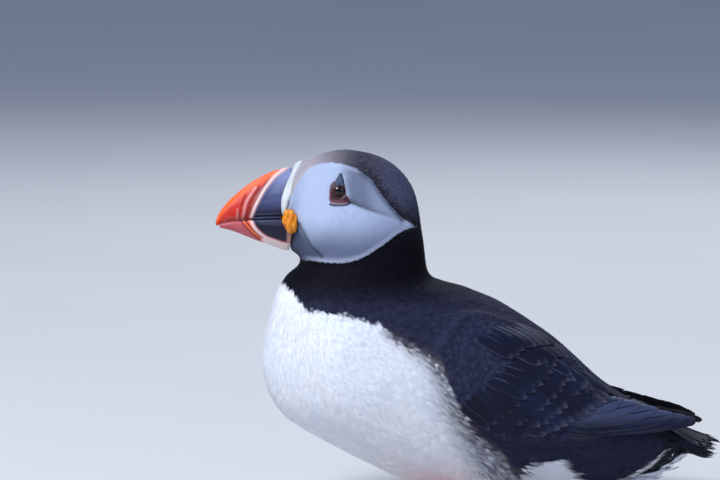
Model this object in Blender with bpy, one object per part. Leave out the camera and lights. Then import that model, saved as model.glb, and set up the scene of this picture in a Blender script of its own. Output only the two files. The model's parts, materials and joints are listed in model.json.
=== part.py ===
"""Atlantic puffin in breeding dress, life size, standing still with its body slanting back.

Units are metres, +Z is up, the bill points along -X and the bird's left side faces -Y.
The origin is on the floor, at the bottom centre of the whole bird's box.

The flesh is one loft, described by ribs. A rib is a flat cross section that runs from a point on
the back (or crown) to a point on the belly (or throat). The loft is parted into head, neck and
trunk by thin cuts, and the bill, wings, tail and legs are fitted to it with a small gap.
"""

import math
from dataclasses import dataclass, fields

import bmesh
import bpy
from mathutils import Matrix, Vector

MM = 0.001
GAP = 0.3 * MM  # clearance kept between neighbouring solids
LEFT, RIGHT = -1, 1  # the sign of Y on each side of the bird
SIDES = {"left": LEFT, "right": RIGHT}

# Driving sizes of the bird.
BODY_SEGMENTS = 28
EYE_RADIUS = 5.0 * MM
EYE_SHOWN = 1.3 * MM  # how far the eyeball stands out of the face
EYE_PLACE = (-62.0, 148.0)  # X and Z of the pupil
EYE_PLATE_HEIGHT, EYE_PLATE_ROOT = 0.9 * MM, 1.5 * MM  # out of the face, and into it
EYE_PLATES = {  # corners as X and Z from the pupil, in mm
    "brow_plate": ((-2.2, 3.9), (2.2, 3.9), (1.4, 6.4), (0.3, 8.6), (-0.9, 6.4)),
    "cheek_plate": ((-4.6, -6.9), (-4.8, -4.9), (5.4, -5.0), (5.9, -6.1), (3.0, -7.1)),
}
FOOT_SPREAD = 24.0 * MM  # from the middle plane to the ball of each foot
BALL_X = {"left": -1.0 * MM, "right": -9.0 * MM}  # the right foot stands a little forward
BALL_HEIGHT = 4.2 * MM
ANKLE_OFFSET = (12.0 * MM, 19.0 * MM)  # back and up from the ball
TARSUS_RADII = (2.6, 2.9, 2.5, 2.4, 2.9, 3.6)  # in mm, from the ball to the ankle
WEB_THICKNESS = 1.1 * MM
WEB_NOTCH = 0.17  # how deep the web's front edge curves in, as a share of a toe
# Each toe's turn outward in degrees, its length and its radius in mm.
TOES = {"inner": (-19.0, 27.0, 2.0), "middle": (3.0, 37.0, 2.3), "outer": (24.0, 35.0, 2.1)}
# Along a toe: the place as a share of its length, the radius as a share, and the axis height in mm.
TOE_PROFILE = (
    (-0.06, 0.70, 1.6),
    (0.00, 1.20, 2.6),
    (0.12, 1.20, 2.4),
    (0.30, 0.95, 1.5),
    (0.50, 1.05, 1.5),
    (0.70, 0.85, 1.1),
    (0.86, 0.90, 1.1),
    (1.00, 0.60, 0.7),
)
CLAW_LENGTH = 6.5 * MM
CLAW_RADIUS = 1.5 * MM


@dataclass(frozen=True)
class Rib:
    """One cross section: its back and belly points in the middle plane, and its half width, in mm."""

    back_x: float
    back_z: float
    belly_x: float
    belly_z: float
    half_width: float
    widest: float = 0.5  # how far down from the back the widest place lies, as a share
    fullness: float = 1.0  # under 1 is boxier than an ellipse, over 1 is leaner


BODY_RIBS = (
    Rib(-78.0, 158.3, -82.6, 117.8, 8.6, 0.50, 0.80),  # face, where the bill starts
    Rib(-74.2, 160.8, -79.8, 116.4, 12.4, 0.55, 0.85),  # lores
    Rib(-67.8, 163.3, -78.4, 115.0, 15.4, 0.58, 0.90),  # brow
    Rib(-59.5, 164.9, -77.9, 113.6, 18.0, 0.60, 0.92),  # eye
    Rib(-49.4, 164.2, -77.9, 112.8, 19.9, 0.60, 0.94),  # crown
    Rib(-38.8, 160.8, -78.3, 111.8, 21.0, 0.58, 0.96),
    Rib(-30.9, 155.0, -78.7, 110.9, 21.6, 0.56, 1.0),  # hind crown
    Rib(-25.4, 147.2, -79.2, 110.4, 22.0, 0.54, 1.0),  # occiput
    Rib(-22.9, 138.9, -79.9, 109.9, 22.3, 0.52, 1.0),
    Rib(-21.6, 129.7, -81.0, 109.2, 22.8, 0.50, 1.0),  # nape
    Rib(-20.1, 120.1, -82.6, 108.4, 23.8, 0.50, 1.0),  # neck
    Rib(-19.3, 112.3, -86.1, 104.9, 26.2, 0.50, 0.98),
    Rib(-16.9, 105.6, -89.8, 97.5, 29.0, 0.49, 0.97),  # shoulders
    Rib(-4.0, 101.6, -96.0, 72.0, 34.6, 0.47, 0.95),  # breast
    Rib(2.4, 99.6, -94.8, 56.6, 36.6, 0.46, 0.94),
    Rib(10.0, 96.4, -88.0, 43.7, 37.8, 0.46, 0.93),
    Rib(18.4, 92.0, -74.6, 33.4, 38.6, 0.46, 0.92),  # keel
    Rib(38.0, 78.8, -35.4, 12.8, 38.0, 0.46, 0.92),  # belly
    Rib(48.2, 70.0, -13.1, 5.0, 36.0, 0.46, 0.92),
    Rib(58.0, 60.8, 10.0, 2.8, 33.2, 0.46, 0.93),  # rump
    Rib(67.2, 52.8, 33.6, 2.9, 29.4, 0.47, 0.94),
    Rib(75.8, 46.4, 55.0, 4.4, 24.6, 0.48, 0.96),  # vent
    Rib(93.2, 36.3, 86.1, 11.4, 13.2, 0.50, 1.0),  # under the tail
    Rib(103.0, 30.7, 100.9, 19.6, 5.0, 0.50, 1.0),
)
# The cuts run through these pairs of points of the middle plane: throat and nape, breast and mantle.
HEAD_CUT = ((-79.0, 111.2), (-21.0, 126.4))
NECK_CUT = ((-88.0, 101.4), (-16.9, 105.4))

UPPER_BILL_RIBS = (
    Rib(-116.3, 131.6, -116.0, 129.4, 0.6, 0.5, 0.9),  # hooked tip
    Rib(-114.7, 135.4, -113.7, 130.8, 1.5, 0.55, 0.9),
    Rib(-111.2, 140.1, -109.6, 132.0, 2.7, 0.62, 0.9),
    Rib(-106.0, 145.0, -104.6, 132.5, 4.0, 0.68, 0.9),
    Rib(-99.0, 150.2, -99.0, 132.7, 5.3, 0.72, 0.9),
    Rib(-90.0, 154.6, -93.0, 132.9, 6.5, 0.74, 0.9),
    Rib(-80.6, 156.6, -86.8, 133.0, 7.6, 0.72, 0.85),
)
CERE_RIBS = (
    Rib(-80.6, 156.9, -86.9, 133.2, 7.9, 0.66, 0.80),
    Rib(-80.0, 158.3, -86.6, 132.5, 8.9, 0.64, 0.80),
    Rib(-77.0, 158.9, -83.6, 132.5, 9.1, 0.62, 0.80),
    Rib(-73.0, 157.0, -79.6, 133.4, 8.4, 0.60, 0.80),
)
LOWER_BILL_RIBS = (
    Rib(-114.8, 130.2, -114.5, 128.8, 0.8, 0.45, 0.9),
    Rib(-109.6, 131.7, -109.8, 127.7, 2.1, 0.36, 0.9),
    Rib(-103.2, 132.2, -103.6, 125.3, 3.4, 0.32, 0.9),
    Rib(-96.0, 132.4, -96.6, 122.4, 4.8, 0.30, 0.9),
    Rib(-89.6, 132.6, -89.8, 119.9, 6.0, 0.30, 0.9),
    Rib(-84.2, 132.7, -84.2, 118.0, 6.9, 0.32, 0.85),
    Rib(-79.4, 132.7, -79.4, 118.3, 6.9, 0.32, 0.85),
)
# The closed tail is an arch over the vent: its ribs are wide, and each is cut by the trunk below it.
TAIL_RIBS = (
    Rib(75.4, 48.4, 79.6, 33.5, 13.0, 0.62, 0.9),
    Rib(84.6, 43.4, 87.7, 30.4, 16.2, 0.66, 0.9),
    Rib(94.8, 37.6, 97.0, 25.6, 17.8, 0.70, 0.9),
    Rib(104.6, 32.6, 105.8, 20.8, 17.4, 0.72, 0.9),
    Rib(113.2, 28.8, 113.8, 20.4, 13.4, 0.66, 0.9),
    Rib(119.3, 25.8, 119.1, 22.4, 6.0, 0.5, 0.9),
)

ROSETTE_PLACE = (-82.9, 9.0, 132.2)  # X, Y and Z in mm
ROSETTE_SIZE = (3.6, 2.4, 5.6)  # half sizes in mm
ROSETTE_TILT = math.radians(-12)

# Edges of the folded wing in the side view, as X and Z in mm, from the shoulder back.
WING_TOP_EDGE = ((-20.5, 80), (-9, 92), (8, 90.5), (26, 83), (42, 72.5), (54, 60.5), (62.6, 52.6))
WING_LOW_EDGE = ((-21.5, 76), (-19.5, 62), (-11, 46), (4, 35.5), (24, 31), (41, 32.5), (57, 34))
WING_THICKNESS = 4.6 * MM
WING_EDGE_THICKNESS = 1.0 * MM
WING_ROOT = 1.5 * MM  # how far the shell reaches into the flank before it is cut back
WING_ROWS, WING_COLUMNS = 14, 7
# The primaries: a blade from beside the rump to over the tail, as X, Y and Z of its two edges.
PRIMARY_TOP_EDGE = (
    (51.0, 27.0, 55.6),
    (62.6, 25.2, 52.4),
    (81.0, 19.4, 47.8),
    (101.0, 11.8, 42.8),
    (108.6, 7.2, 38.6),
)
PRIMARY_LOW_EDGE = (
    (49.0, 31.8, 34.4),
    (58.0, 30.2, 33.8),
    (76.0, 25.2, 34.2),
    (95.5, 17.4, 35.2),
    (107.6, 9.0, 36.8),
)
PRIMARY_THICKNESS = 2.2 * MM

PALETTE = {
    "plumage_black": ((0.020, 0.020, 0.026), 0.75),
    "plumage_white": ((0.82, 0.82, 0.82), 0.85),
    "face_grey": ((0.55, 0.57, 0.62), 0.80),
    "bill_red": ((0.75, 0.13, 0.06), 0.38),
    "bill_cream": ((0.72, 0.64, 0.50), 0.45),
    "rosette_orange": ((0.85, 0.38, 0.02), 0.50),
    "eye_dark": ((0.035, 0.020, 0.016), 0.08),
    "plate_slate": ((0.10, 0.11, 0.15), 0.45),
    "leg_orange": ((0.82, 0.22, 0.05), 0.50),
    "claw_black": ((0.02, 0.018, 0.016), 0.35),
}


# ---------------------------------------------------------------- general tools


def clear_scene():
    """Removes every object of the scene."""
    for obj in list(bpy.data.objects):
        bpy.data.objects.remove(obj, do_unlink=True)


def make_collection(name):
    """A new collection of the scene."""
    collection = bpy.data.collections.new(name)
    bpy.context.scene.collection.children.link(collection)
    return collection


def material(name):
    """The palette's material of that name, made at its first use."""
    found = bpy.data.materials.get(name)
    if found:
        return found
    colour, roughness = PALETTE[name]
    made = bpy.data.materials.new(name)
    made.use_nodes = True
    shader = made.node_tree.nodes["Principled BSDF"]
    shader.inputs["Base Color"].default_value = (*colour, 1.0)
    shader.inputs["Roughness"].default_value = roughness
    return made


def add_mesh(name, bm, collection, finish):
    """A smooth shaded object from a bmesh, which is freed."""
    bmesh.ops.recalc_face_normals(bm, faces=bm.faces)
    mesh = bpy.data.meshes.new(name)
    bm.to_mesh(mesh)
    bm.free()
    mesh.shade_smooth()
    mesh.set_sharp_from_angle(angle=math.radians(40))
    obj = bpy.data.objects.new(name, mesh)
    collection.objects.link(obj)
    mesh.materials.append(material(finish))
    return obj


def catmull_rom(points, position):
    """The smooth curve through the points, read at a position that counts them from 0."""
    last = len(points) - 1
    first = min(max(int(math.floor(position)), 0), last - 1)
    t = position - first
    p1, p2 = points[first], points[first + 1]
    p0 = points[first - 1] if first > 0 else [2 * a - b for a, b in zip(p1, p2)]
    p3 = points[first + 2] if first + 2 <= last else [2 * b - a for a, b in zip(p1, p2)]
    return [
        0.5 * (2 * b + (c - a) * t + (2 * a - 5 * b + 4 * c - d) * t**2 + (3 * b - a - 3 * c + d) * t**3)
        for a, b, c, d in zip(p0, p1, p2, p3)
    ]


def rib_at(ribs, position):
    """The rib at a position that counts the ribs from 0, smoothly between them."""
    table = [[getattr(rib, field.name) for field in fields(Rib)] for rib in ribs]
    return Rib(*catmull_rom(table, position))


def rib_point(rib, turn):
    """A point of the rib's edge. A turn of 0 is the back, pi the belly, and 0 to pi the right side."""
    share = (1 - math.cos(turn)) / 2
    share = share ** (math.log(rib.widest) / math.log(0.5))
    sideways = math.copysign(abs(math.sin(turn)) ** rib.fullness, math.sin(turn))
    return Vector(
        (
            rib.back_x + (rib.belly_x - rib.back_x) * share,
            rib.half_width * sideways,
            rib.back_z + (rib.belly_z - rib.back_z) * share,
        )
    ) * MM


def skin_loft(rings):
    """A bmesh of closed rings joined in order, with a cap on each end."""
    bm = bmesh.new()
    loops = [[bm.verts.new(point) for point in ring] for ring in rings]
    count = len(loops[0])
    for before, after in zip(loops, loops[1:]):
        for i in range(count):
            j = (i + 1) % count
            bm.faces.new((before[i], before[j], after[j], after[i]))
    bm.faces.new(loops[0])
    bm.faces.new(reversed(loops[-1]))
    bmesh.ops.recalc_face_normals(bm, faces=bm.faces)
    return bm


def rib_loft(ribs, segments, steps):
    """A bmesh of the loft through the ribs, with that many steps between each two."""
    stations = [i / steps for i in range((len(ribs) - 1) * steps + 1)]
    turns = [2 * math.pi * i / segments for i in range(segments)]
    return skin_loft([[rib_point(rib_at(ribs, s), turn) for turn in turns] for s in stations])


def cut_flat(bm, point, normal):
    """Cuts away what lies beyond the plane, on the side its normal points to, and closes the cut."""
    geometry = bm.verts[:] + bm.edges[:] + bm.faces[:]
    cut = bmesh.ops.bisect_plane(
        bm, geom=geometry, dist=1e-7, plane_co=point, plane_no=normal, clear_outer=True
    )
    edges = [item for item in cut["geom_cut"] if isinstance(item, bmesh.types.BMEdge)]
    bmesh.ops.holes_fill(bm, edges=edges)


def apply_modifiers(obj):
    """Makes the evaluated mesh the object's own."""
    graph = bpy.context.evaluated_depsgraph_get()
    mesh = bpy.data.meshes.new_from_object(obj.evaluated_get(graph))
    obj.modifiers.clear()
    obj.data = mesh


def grown_copy(obj, gap, cutters):
    """A cutter: the finished object's own shape, larger by the gap all round."""
    name = f"{obj.name}_cutter"
    if name in cutters.objects:
        return cutters.objects[name]
    cutter = bpy.data.objects.new(name, obj.data.copy())
    cutter.hide_render = True
    cutter.display_type = "WIRE"
    cutters.objects.link(cutter)
    bm = bmesh.new()
    bm.from_mesh(cutter.data)
    bmesh.ops.remove_doubles(bm, verts=bm.verts, dist=1e-6)
    bmesh.ops.triangulate(bm, faces=bm.faces)
    bm.normal_update()
    moves = [(vert, vert.normal * gap * min(vert.calc_shell_factor(), 1.5)) for vert in bm.verts]
    for vert, move in moves:
        vert.co += move
    bm.to_mesh(cutter.data)
    bm.free()
    return cutter


def carve(obj, others, cutters, gap=GAP):
    """Cuts the object back from its neighbours, which keeps the gap between them."""
    for other in others:
        modifier = obj.modifiers.new("fit", "BOOLEAN")
        modifier.operation = "DIFFERENCE"
        modifier.object = grown_copy(other, gap, cutters)
        apply_modifiers(obj)
    keep_largest(obj)


def keep_largest(obj):
    """Drops the crumbs that a cut leaves beside the main body."""
    bm = bmesh.new()
    bm.from_mesh(obj.data)
    left = set(bm.verts)
    islands = []
    while left:
        island, todo = set(), [next(iter(left))]
        while todo:
            vert = todo.pop()
            if vert in island:
                continue
            island.add(vert)
            todo.extend(edge.other_vert(vert) for edge in vert.link_edges)
        islands.append(island)
        left -= island
    islands.sort(key=len, reverse=True)
    for island in islands[1:]:
        bmesh.ops.delete(bm, geom=list(island), context="VERTS")
    bm.to_mesh(obj.data)
    bm.free()


# ---------------------------------------------------------------- head, neck and trunk


def make_body(collection):
    """Head, neck and trunk: one loft parted by two thin cuts."""
    whole = rib_loft(BODY_RIBS, BODY_SEGMENTS, 2)
    planes = []
    for (x0, z0), (x1, z1) in (HEAD_CUT, NECK_CUT):
        along = Vector((x1 - x0, 0, z1 - z0)).normalized()
        upward = Vector((-along.z, 0, along.x))
        planes.append((Vector((x0, 0, z0)) * MM, upward))
    (head_point, head_up), (neck_point, neck_up) = planes
    half = GAP / 2
    pieces = {
        "head": ([(head_point + head_up * half, -head_up)], "face_grey"),
        "neck": (
            [(head_point - head_up * half, head_up), (neck_point + neck_up * half, -neck_up)],
            "plumage_black",
        ),
        "trunk": ([(neck_point - neck_up * half, neck_up)], "plumage_white"),
    }
    made = {}
    for name, (cuts, finish) in pieces.items():
        bm = whole.copy()
        for point, normal in cuts:
            cut_flat(bm, point, normal)
        made[name] = add_mesh(name, bm, collection, finish)
    whole.free()
    return made


def body_half_width(x, z):
    """Half width of the flesh at a place of the side view, in metres, for X and Z in mm."""
    best = (math.inf, 0.0)
    steps = (len(BODY_RIBS) - 1) * 8
    for i in range(steps + 1):
        rib = rib_at(BODY_RIBS, i / 8)
        dx, dz = rib.belly_x - rib.back_x, rib.belly_z - rib.back_z
        share = ((x - rib.back_x) * dx + (z - rib.back_z) * dz) / (dx * dx + dz * dz)
        if not 0 < share < 1:
            continue
        miss = abs((x - rib.back_x) * dz - (z - rib.back_z) * dx) / math.hypot(dx, dz)
        if miss < best[0]:
            turn = math.acos(1 - 2 * share ** (math.log(0.5) / math.log(rib.widest)))
            best = (miss, rib_point(rib, turn).y)
    return best[1]


def body_surface(x, z, side_step=0.8):
    """A point of the flesh's right flank at a place of the side view in mm, and its outward normal."""
    place = Vector((x * MM, body_half_width(x, z), z * MM))
    ahead, above = body_half_width(x + side_step, z), body_half_width(x, z + side_step)
    behind, below = body_half_width(x - side_step, z), body_half_width(x, z - side_step)
    run = 2 * side_step * MM
    return place, Vector(((behind - ahead) / run, 1.0, (below - above) / run)).normalized()


# ---------------------------------------------------------------- eyes and face


def side_point(x, z, sign, depth=0.0):
    """A point of the face at a place of the side view in mm, or that depth under it, on either side."""
    place, outward = body_surface(x, z)
    point = place - outward * depth
    return Vector((point.x, point.y * sign, point.z))


def make_eyes(collection, cutters, head):
    """The eyeballs, each in a socket of the head, with the horny plates above and below them."""
    eyes = []
    for side, sign in SIDES.items():
        place = Matrix.Translation(side_point(*EYE_PLACE, sign, EYE_RADIUS - EYE_SHOWN))
        bm = bmesh.new()
        bmesh.ops.create_uvsphere(bm, u_segments=14, v_segments=9, radius=EYE_RADIUS, matrix=place)
        eyes.append(add_mesh(f"eye_{side}", bm, collection, "eye_dark"))
    carve(head, eyes, cutters)
    for side, sign in SIDES.items():
        for name, corners in EYE_PLATES.items():
            plate = make_eye_plate(f"{name}_{side}", sign, corners, collection)
            carve(plate, [head, *eyes], cutters)


def make_eye_plate(name, sign, corners, collection):
    """One small horny plate, laid on the face."""
    x, z = EYE_PLACE
    rings = [
        [side_point(x + dx, z + dz, sign, depth) for dx, dz in corners]
        for depth in (EYE_PLATE_ROOT, -EYE_PLATE_HEIGHT)
    ]
    return add_mesh(name, skin_loft(rings), collection, "plate_slate")


def make_bill(collection, cutters, head):
    """Upper and lower bill, the pale ridge at its base, and the rosettes at the gape."""
    cere = add_mesh("bill_cere", rib_loft(CERE_RIBS, 20, 1), collection, "bill_cream")
    carve(cere, [head], cutters)
    upper = add_mesh("bill_upper", rib_loft(UPPER_BILL_RIBS, 14, 2), collection, "bill_red")
    carve(upper, [cere, head], cutters)
    lower = add_mesh("bill_lower", rib_loft(LOWER_BILL_RIBS, 14, 2), collection, "bill_red")
    carve(lower, [cere, head, upper], cutters)
    for side, sign in SIDES.items():
        rosette = make_rosette(f"rosette_{side}", sign, collection)
        carve(rosette, [head, cere, upper, lower], cutters)


def make_rosette(name, sign, collection):
    """The fleshy patch at the corner of the mouth."""
    x, y, z = ROSETTE_PLACE
    place = Matrix.Translation(Vector((x, sign * y, z)) * MM)
    shape = Matrix.Rotation(ROSETTE_TILT, 4, "Y") @ Matrix.Diagonal((*(Vector(ROSETTE_SIZE) * MM), 1.0))
    bm = bmesh.new()
    bmesh.ops.create_uvsphere(bm, u_segments=12, v_segments=8, radius=1.0, matrix=place @ shape)
    return add_mesh(name, bm, collection, "rosette_orange")


# ---------------------------------------------------------------- wings and tail


def make_wing(name, sign, collection):
    """The folded arm wing: a shell that swells between its edges, over and into the flank."""
    grids = [[], []]
    for row in range(WING_ROWS + 1):
        along = row / WING_ROWS
        position = along * (len(WING_TOP_EDGE) - 1)
        top, low = catmull_rom(WING_TOP_EDGE, position), catmull_rom(WING_LOW_EDGE, position)
        for grid in grids:
            grid.append([])
        for column in range(WING_COLUMNS + 1):
            across = column / WING_COLUMNS
            x, z = (a + (b - a) * across for a, b in zip(top, low))
            place, outward = body_surface(x, z)
            swell = math.sin(math.pi * across) ** 0.6
            swell *= math.sin(math.pi * min(0.06 + 1.1 * along, 0.88)) ** 0.7
            thickness = WING_EDGE_THICKNESS + (WING_THICKNESS - WING_EDGE_THICKNESS) * swell
            for grid, lift in zip(grids, (-WING_ROOT, GAP + thickness)):
                point = place + outward * lift
                grid[-1].append(Vector((point.x, point.y * sign, point.z)))
    bm = bmesh.new()
    inner, outer = [[[bm.verts.new(point) for point in row] for row in grid] for grid in grids]
    for grid in (inner, outer):
        for a, b in zip(grid, grid[1:]):
            for i in range(WING_COLUMNS):
                bm.faces.new((a[i], a[i + 1], b[i + 1], b[i]))
    rims = [(inner[0], outer[0]), (inner[-1], outer[-1])]
    rims += [([row[i] for row in inner], [row[i] for row in outer]) for i in (0, -1)]
    for a, b in rims:
        for i in range(len(a) - 1):
            bm.faces.new((a[i], a[i + 1], b[i + 1], b[i]))
    return add_mesh(name, bm, collection, "plumage_black")


def make_primaries(name, sign, collection):
    """The long flight feathers of one wing as a thin lens-shaped blade."""
    rings = []
    steps, segments = 2, 10
    for i in range((len(PRIMARY_TOP_EDGE) - 1) * steps + 1):
        top = Vector(catmull_rom(PRIMARY_TOP_EDGE, i / steps)) * MM
        low = Vector(catmull_rom(PRIMARY_LOW_EDGE, i / steps)) * MM
        across = low - top
        outward = Vector((1, 0, 0)).cross(across).normalized()
        outward *= math.copysign(1.0, outward.y)
        ring = []
        for turn in [2 * math.pi * k / segments for k in range(segments)]:
            share = (1 - math.cos(turn)) / 2
            bow = 0.4 * across.length * share * (1 - share)
            point = top + across * share + outward * (math.sin(turn) * PRIMARY_THICKNESS / 2 + bow)
            ring.append(Vector((point.x, point.y * sign, point.z)))
        rings.append(ring)
    return add_mesh(name, skin_loft(rings), collection, "plumage_black")


def make_tail(collection, cutters, trunk):
    """The short closed tail, arched over the feathers below it."""
    tail = add_mesh("tail", rib_loft(TAIL_RIBS, 16, 2), collection, "plumage_black")
    carve(tail, [trunk], cutters)
    return tail


# ---------------------------------------------------------------- legs and feet


def tapered_tube(centres, radii, segments, squeeze=1.0):
    """A bmesh tube through the centres. Squeeze scales it across, in Y."""
    rings = []
    for i, (centre, radius) in enumerate(zip(centres, radii)):
        along = (centres[min(i + 1, len(centres) - 1)] - centres[max(i - 1, 0)]).normalized()
        sideways = along.cross(Vector((0, 0, 1)))
        sideways = sideways.normalized() if sideways.length > 0.2 else Vector((0, 1, 0))
        upward = sideways.cross(along).normalized()
        rings.append(
            [
                centre + sideways * math.cos(t) * radius * squeeze + upward * math.sin(t) * radius
                for t in [2 * math.pi * k / segments for k in range(segments)]
            ]
        )
    return skin_loft(rings)


def toe_direction(sign, degrees):
    """Which way a toe points: forward, turned outward by that angle."""
    angle = math.radians(degrees)
    return Vector((-math.cos(angle), sign * math.sin(angle), 0))


def make_foot(name, ball, sign, collection, cutters):
    """Three webbed toes flat on the floor, in one solid, and a claw on each."""
    foot = add_mesh(name, make_web(ball, sign), collection, "leg_orange")
    tips = {}
    for toe_name, (degrees, length, radius) in TOES.items():
        ahead = toe_direction(sign, degrees)
        tips[toe_name] = ball + ahead * length * MM, ahead
        centres = [ball + ahead * (s * length * MM) + Vector((0, 0, h * MM)) for s, _, h in TOE_PROFILE]
        tube = tapered_tube(centres, [radius * share * MM for _, share, _ in TOE_PROFILE], 8)
        join_to(foot, add_mesh(f"{name}_{toe_name}", tube, collection, "leg_orange"))
    bm = bmesh.new()
    bm.from_mesh(foot.data)
    cut_flat(bm, Vector((0, 0, 0)), Vector((0, 0, -1)))
    bm.to_mesh(foot.data)
    bm.free()
    for toe_name, (tip, ahead) in tips.items():
        claw = make_claw(name.replace("foot", f"claw_{toe_name}"), tip, ahead, collection)
        carve(claw, [foot], cutters)
    return foot


def make_web(ball, sign):
    """A bmesh of the skin between the toes, with a front edge that curves in between them."""
    steps = 6
    tips = [ball + toe_direction(sign, degrees) * length * MM for degrees, length, _ in TOES.values()]
    outline = [ball + Vector((1.0 * MM, 0, 0))]
    for tip, following in zip(tips, tips[1:]):
        first = 0 if len(outline) == 1 else 1
        for i in range(first, steps + 1):
            chord = tip.lerp(following, i / steps)
            outline.append(chord.lerp(ball, 0.03 + WEB_NOTCH * math.sin(math.pi * i / steps)))
    levels = (-WEB_THICKNESS, WEB_THICKNESS)
    return skin_loft([[Vector((p.x, p.y, z)) for p in outline] for z in levels])


def join_to(obj, other):
    """Adds the other solid to the object, as one body, and removes it."""
    modifier = obj.modifiers.new("join", "BOOLEAN")
    modifier.operation = "UNION"
    modifier.object = other
    apply_modifiers(obj)
    bpy.data.objects.remove(other, do_unlink=True)


def make_claw(name, tip, ahead, collection):
    """A short down-curved claw at a toe's tip."""
    centres, radii = [], []
    steps = 4
    root = tip - ahead * 1.2 * MM
    for i in range(steps + 1):
        t = i / steps
        height = 1.4 - 0.75 * t**2 + 0.5 * math.sin(math.pi * t)
        centres.append(root + ahead * t * CLAW_LENGTH + Vector((0, 0, height * MM)))
        radii.append(CLAW_RADIUS * (1 - 0.8 * t))
    return add_mesh(name, tapered_tube(centres, radii, 6, 0.85), collection, "claw_black")


def make_leg(name, ball, collection, cutters, neighbours):
    """The tarsus, from the belly feathers to the ball of the foot."""
    start = ball + Vector((0, 0, BALL_HEIGHT))
    ankle = start + Vector((ANKLE_OFFSET[0], 0, ANKLE_OFFSET[1]))
    last = len(TARSUS_RADII) - 1
    centres = [start.lerp(ankle, i / last) for i in range(last + 1)]
    tube = tapered_tube(centres, [radius * MM for radius in TARSUS_RADII], 12, 0.8)
    carve(add_mesh(name, tube, collection, "leg_orange"), neighbours, cutters)


# ---------------------------------------------------------------- the whole bird


def centre_on_floor(pieces, guides):
    """Moves everything so that the bottom centre of the pieces' box is the origin."""
    corners = [vert.co for piece in pieces for vert in piece.data.vertices]
    lows = [min(corner[axis] for corner in corners) for axis in range(3)]
    highs = [max(corner[axis] for corner in corners) for axis in range(3)]
    middle = Vector(((lows[0] + highs[0]) / 2, (lows[1] + highs[1]) / 2, lows[2]))
    for obj in [*pieces, *guides]:
        obj.data.transform(Matrix.Translation(-middle))


def main():
    """Builds every part of the bird."""
    clear_scene()
    bird = make_collection("atlantic_puffin")
    cutters = make_collection("cutters")
    body = make_body(bird)
    head, trunk = body["head"], body["trunk"]
    make_eyes(bird, cutters, head)
    make_bill(bird, cutters, head)
    tail = make_tail(bird, cutters, trunk)
    for side, sign in SIDES.items():
        wing = make_wing(f"wing_{side}", sign, bird)
        carve(wing, [trunk], cutters)
        primaries = make_primaries(f"primaries_{side}", sign, bird)
        carve(primaries, [trunk, wing, tail], cutters)
        ball = Vector((BALL_X[side], sign * FOOT_SPREAD, 0))
        foot = make_foot(f"foot_{side}", ball, sign, bird, cutters)
        make_leg(f"leg_{side}", ball, bird, cutters, [trunk, foot])
    centre_on_floor(list(bird.objects), list(cutters.objects))


main()
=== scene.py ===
"""The looks of a life-size Atlantic puffin in breeding dress, around its fixed CAD frame.

One skin takes the place of the head, neck, trunk and arm wings. It lies under them by the depth of
the plumage, and fields stored on it say where each marking runs, which way the feathers lie and how
long they are. Geometry Nodes then grow the coat on that skin. The bill, eyes, plates, flight
feathers, tail and feet are pieces of their own. Places are in the frame, in millimetres where a
name or comment says so, with the bill towards -X and the bird's left side towards -Y.
"""

import json
import logging
import math
from collections.abc import Callable, Iterator, Sequence
from contextlib import contextmanager
from dataclasses import dataclass
from enum import Enum
from functools import partial

import bmesh
import bpy
import numpy as np
from mathutils import Matrix, Vector
from mathutils.bvhtree import BVHTree

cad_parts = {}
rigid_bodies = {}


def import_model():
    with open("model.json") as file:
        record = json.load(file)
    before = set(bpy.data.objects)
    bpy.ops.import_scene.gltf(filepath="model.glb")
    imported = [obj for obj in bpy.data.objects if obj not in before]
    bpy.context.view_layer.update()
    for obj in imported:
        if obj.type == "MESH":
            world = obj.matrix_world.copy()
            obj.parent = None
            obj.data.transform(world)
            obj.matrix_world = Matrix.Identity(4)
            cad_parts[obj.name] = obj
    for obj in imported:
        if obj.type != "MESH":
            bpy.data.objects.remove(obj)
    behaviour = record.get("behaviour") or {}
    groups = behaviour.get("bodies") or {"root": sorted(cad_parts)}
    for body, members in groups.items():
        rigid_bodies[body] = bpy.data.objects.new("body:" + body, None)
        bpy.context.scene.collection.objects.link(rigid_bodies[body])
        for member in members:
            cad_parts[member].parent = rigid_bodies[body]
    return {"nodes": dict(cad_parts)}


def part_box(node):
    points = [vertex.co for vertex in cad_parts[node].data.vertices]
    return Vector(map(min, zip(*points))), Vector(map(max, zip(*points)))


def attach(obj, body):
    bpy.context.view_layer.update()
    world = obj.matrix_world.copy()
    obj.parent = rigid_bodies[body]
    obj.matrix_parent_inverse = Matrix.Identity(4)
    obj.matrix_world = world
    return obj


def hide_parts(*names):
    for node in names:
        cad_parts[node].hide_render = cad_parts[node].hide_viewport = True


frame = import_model()

MM = 0.001
BODY = "root"
SIDES = {"left": -1, "right": 1}
NODE_FAMILIES = ("GeometryNode", "FunctionNode", "ShaderNode", "Node")
log = logging.getLogger("puffin")

Array = np.ndarray
Point = tuple[float, float]
Colour = tuple[float, float, float, float]
Lay = tuple[Point, Point, float]  # A feather's root, its tip and how much more its tip is raised.
Object, Mesh, Material = bpy.types.Object, bpy.types.Mesh, bpy.types.Material
Tree, Socket = bpy.types.NodeTree, bpy.types.NodeSocket


# ---------------------------------------------------------------- curves and fields in the side view


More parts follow.
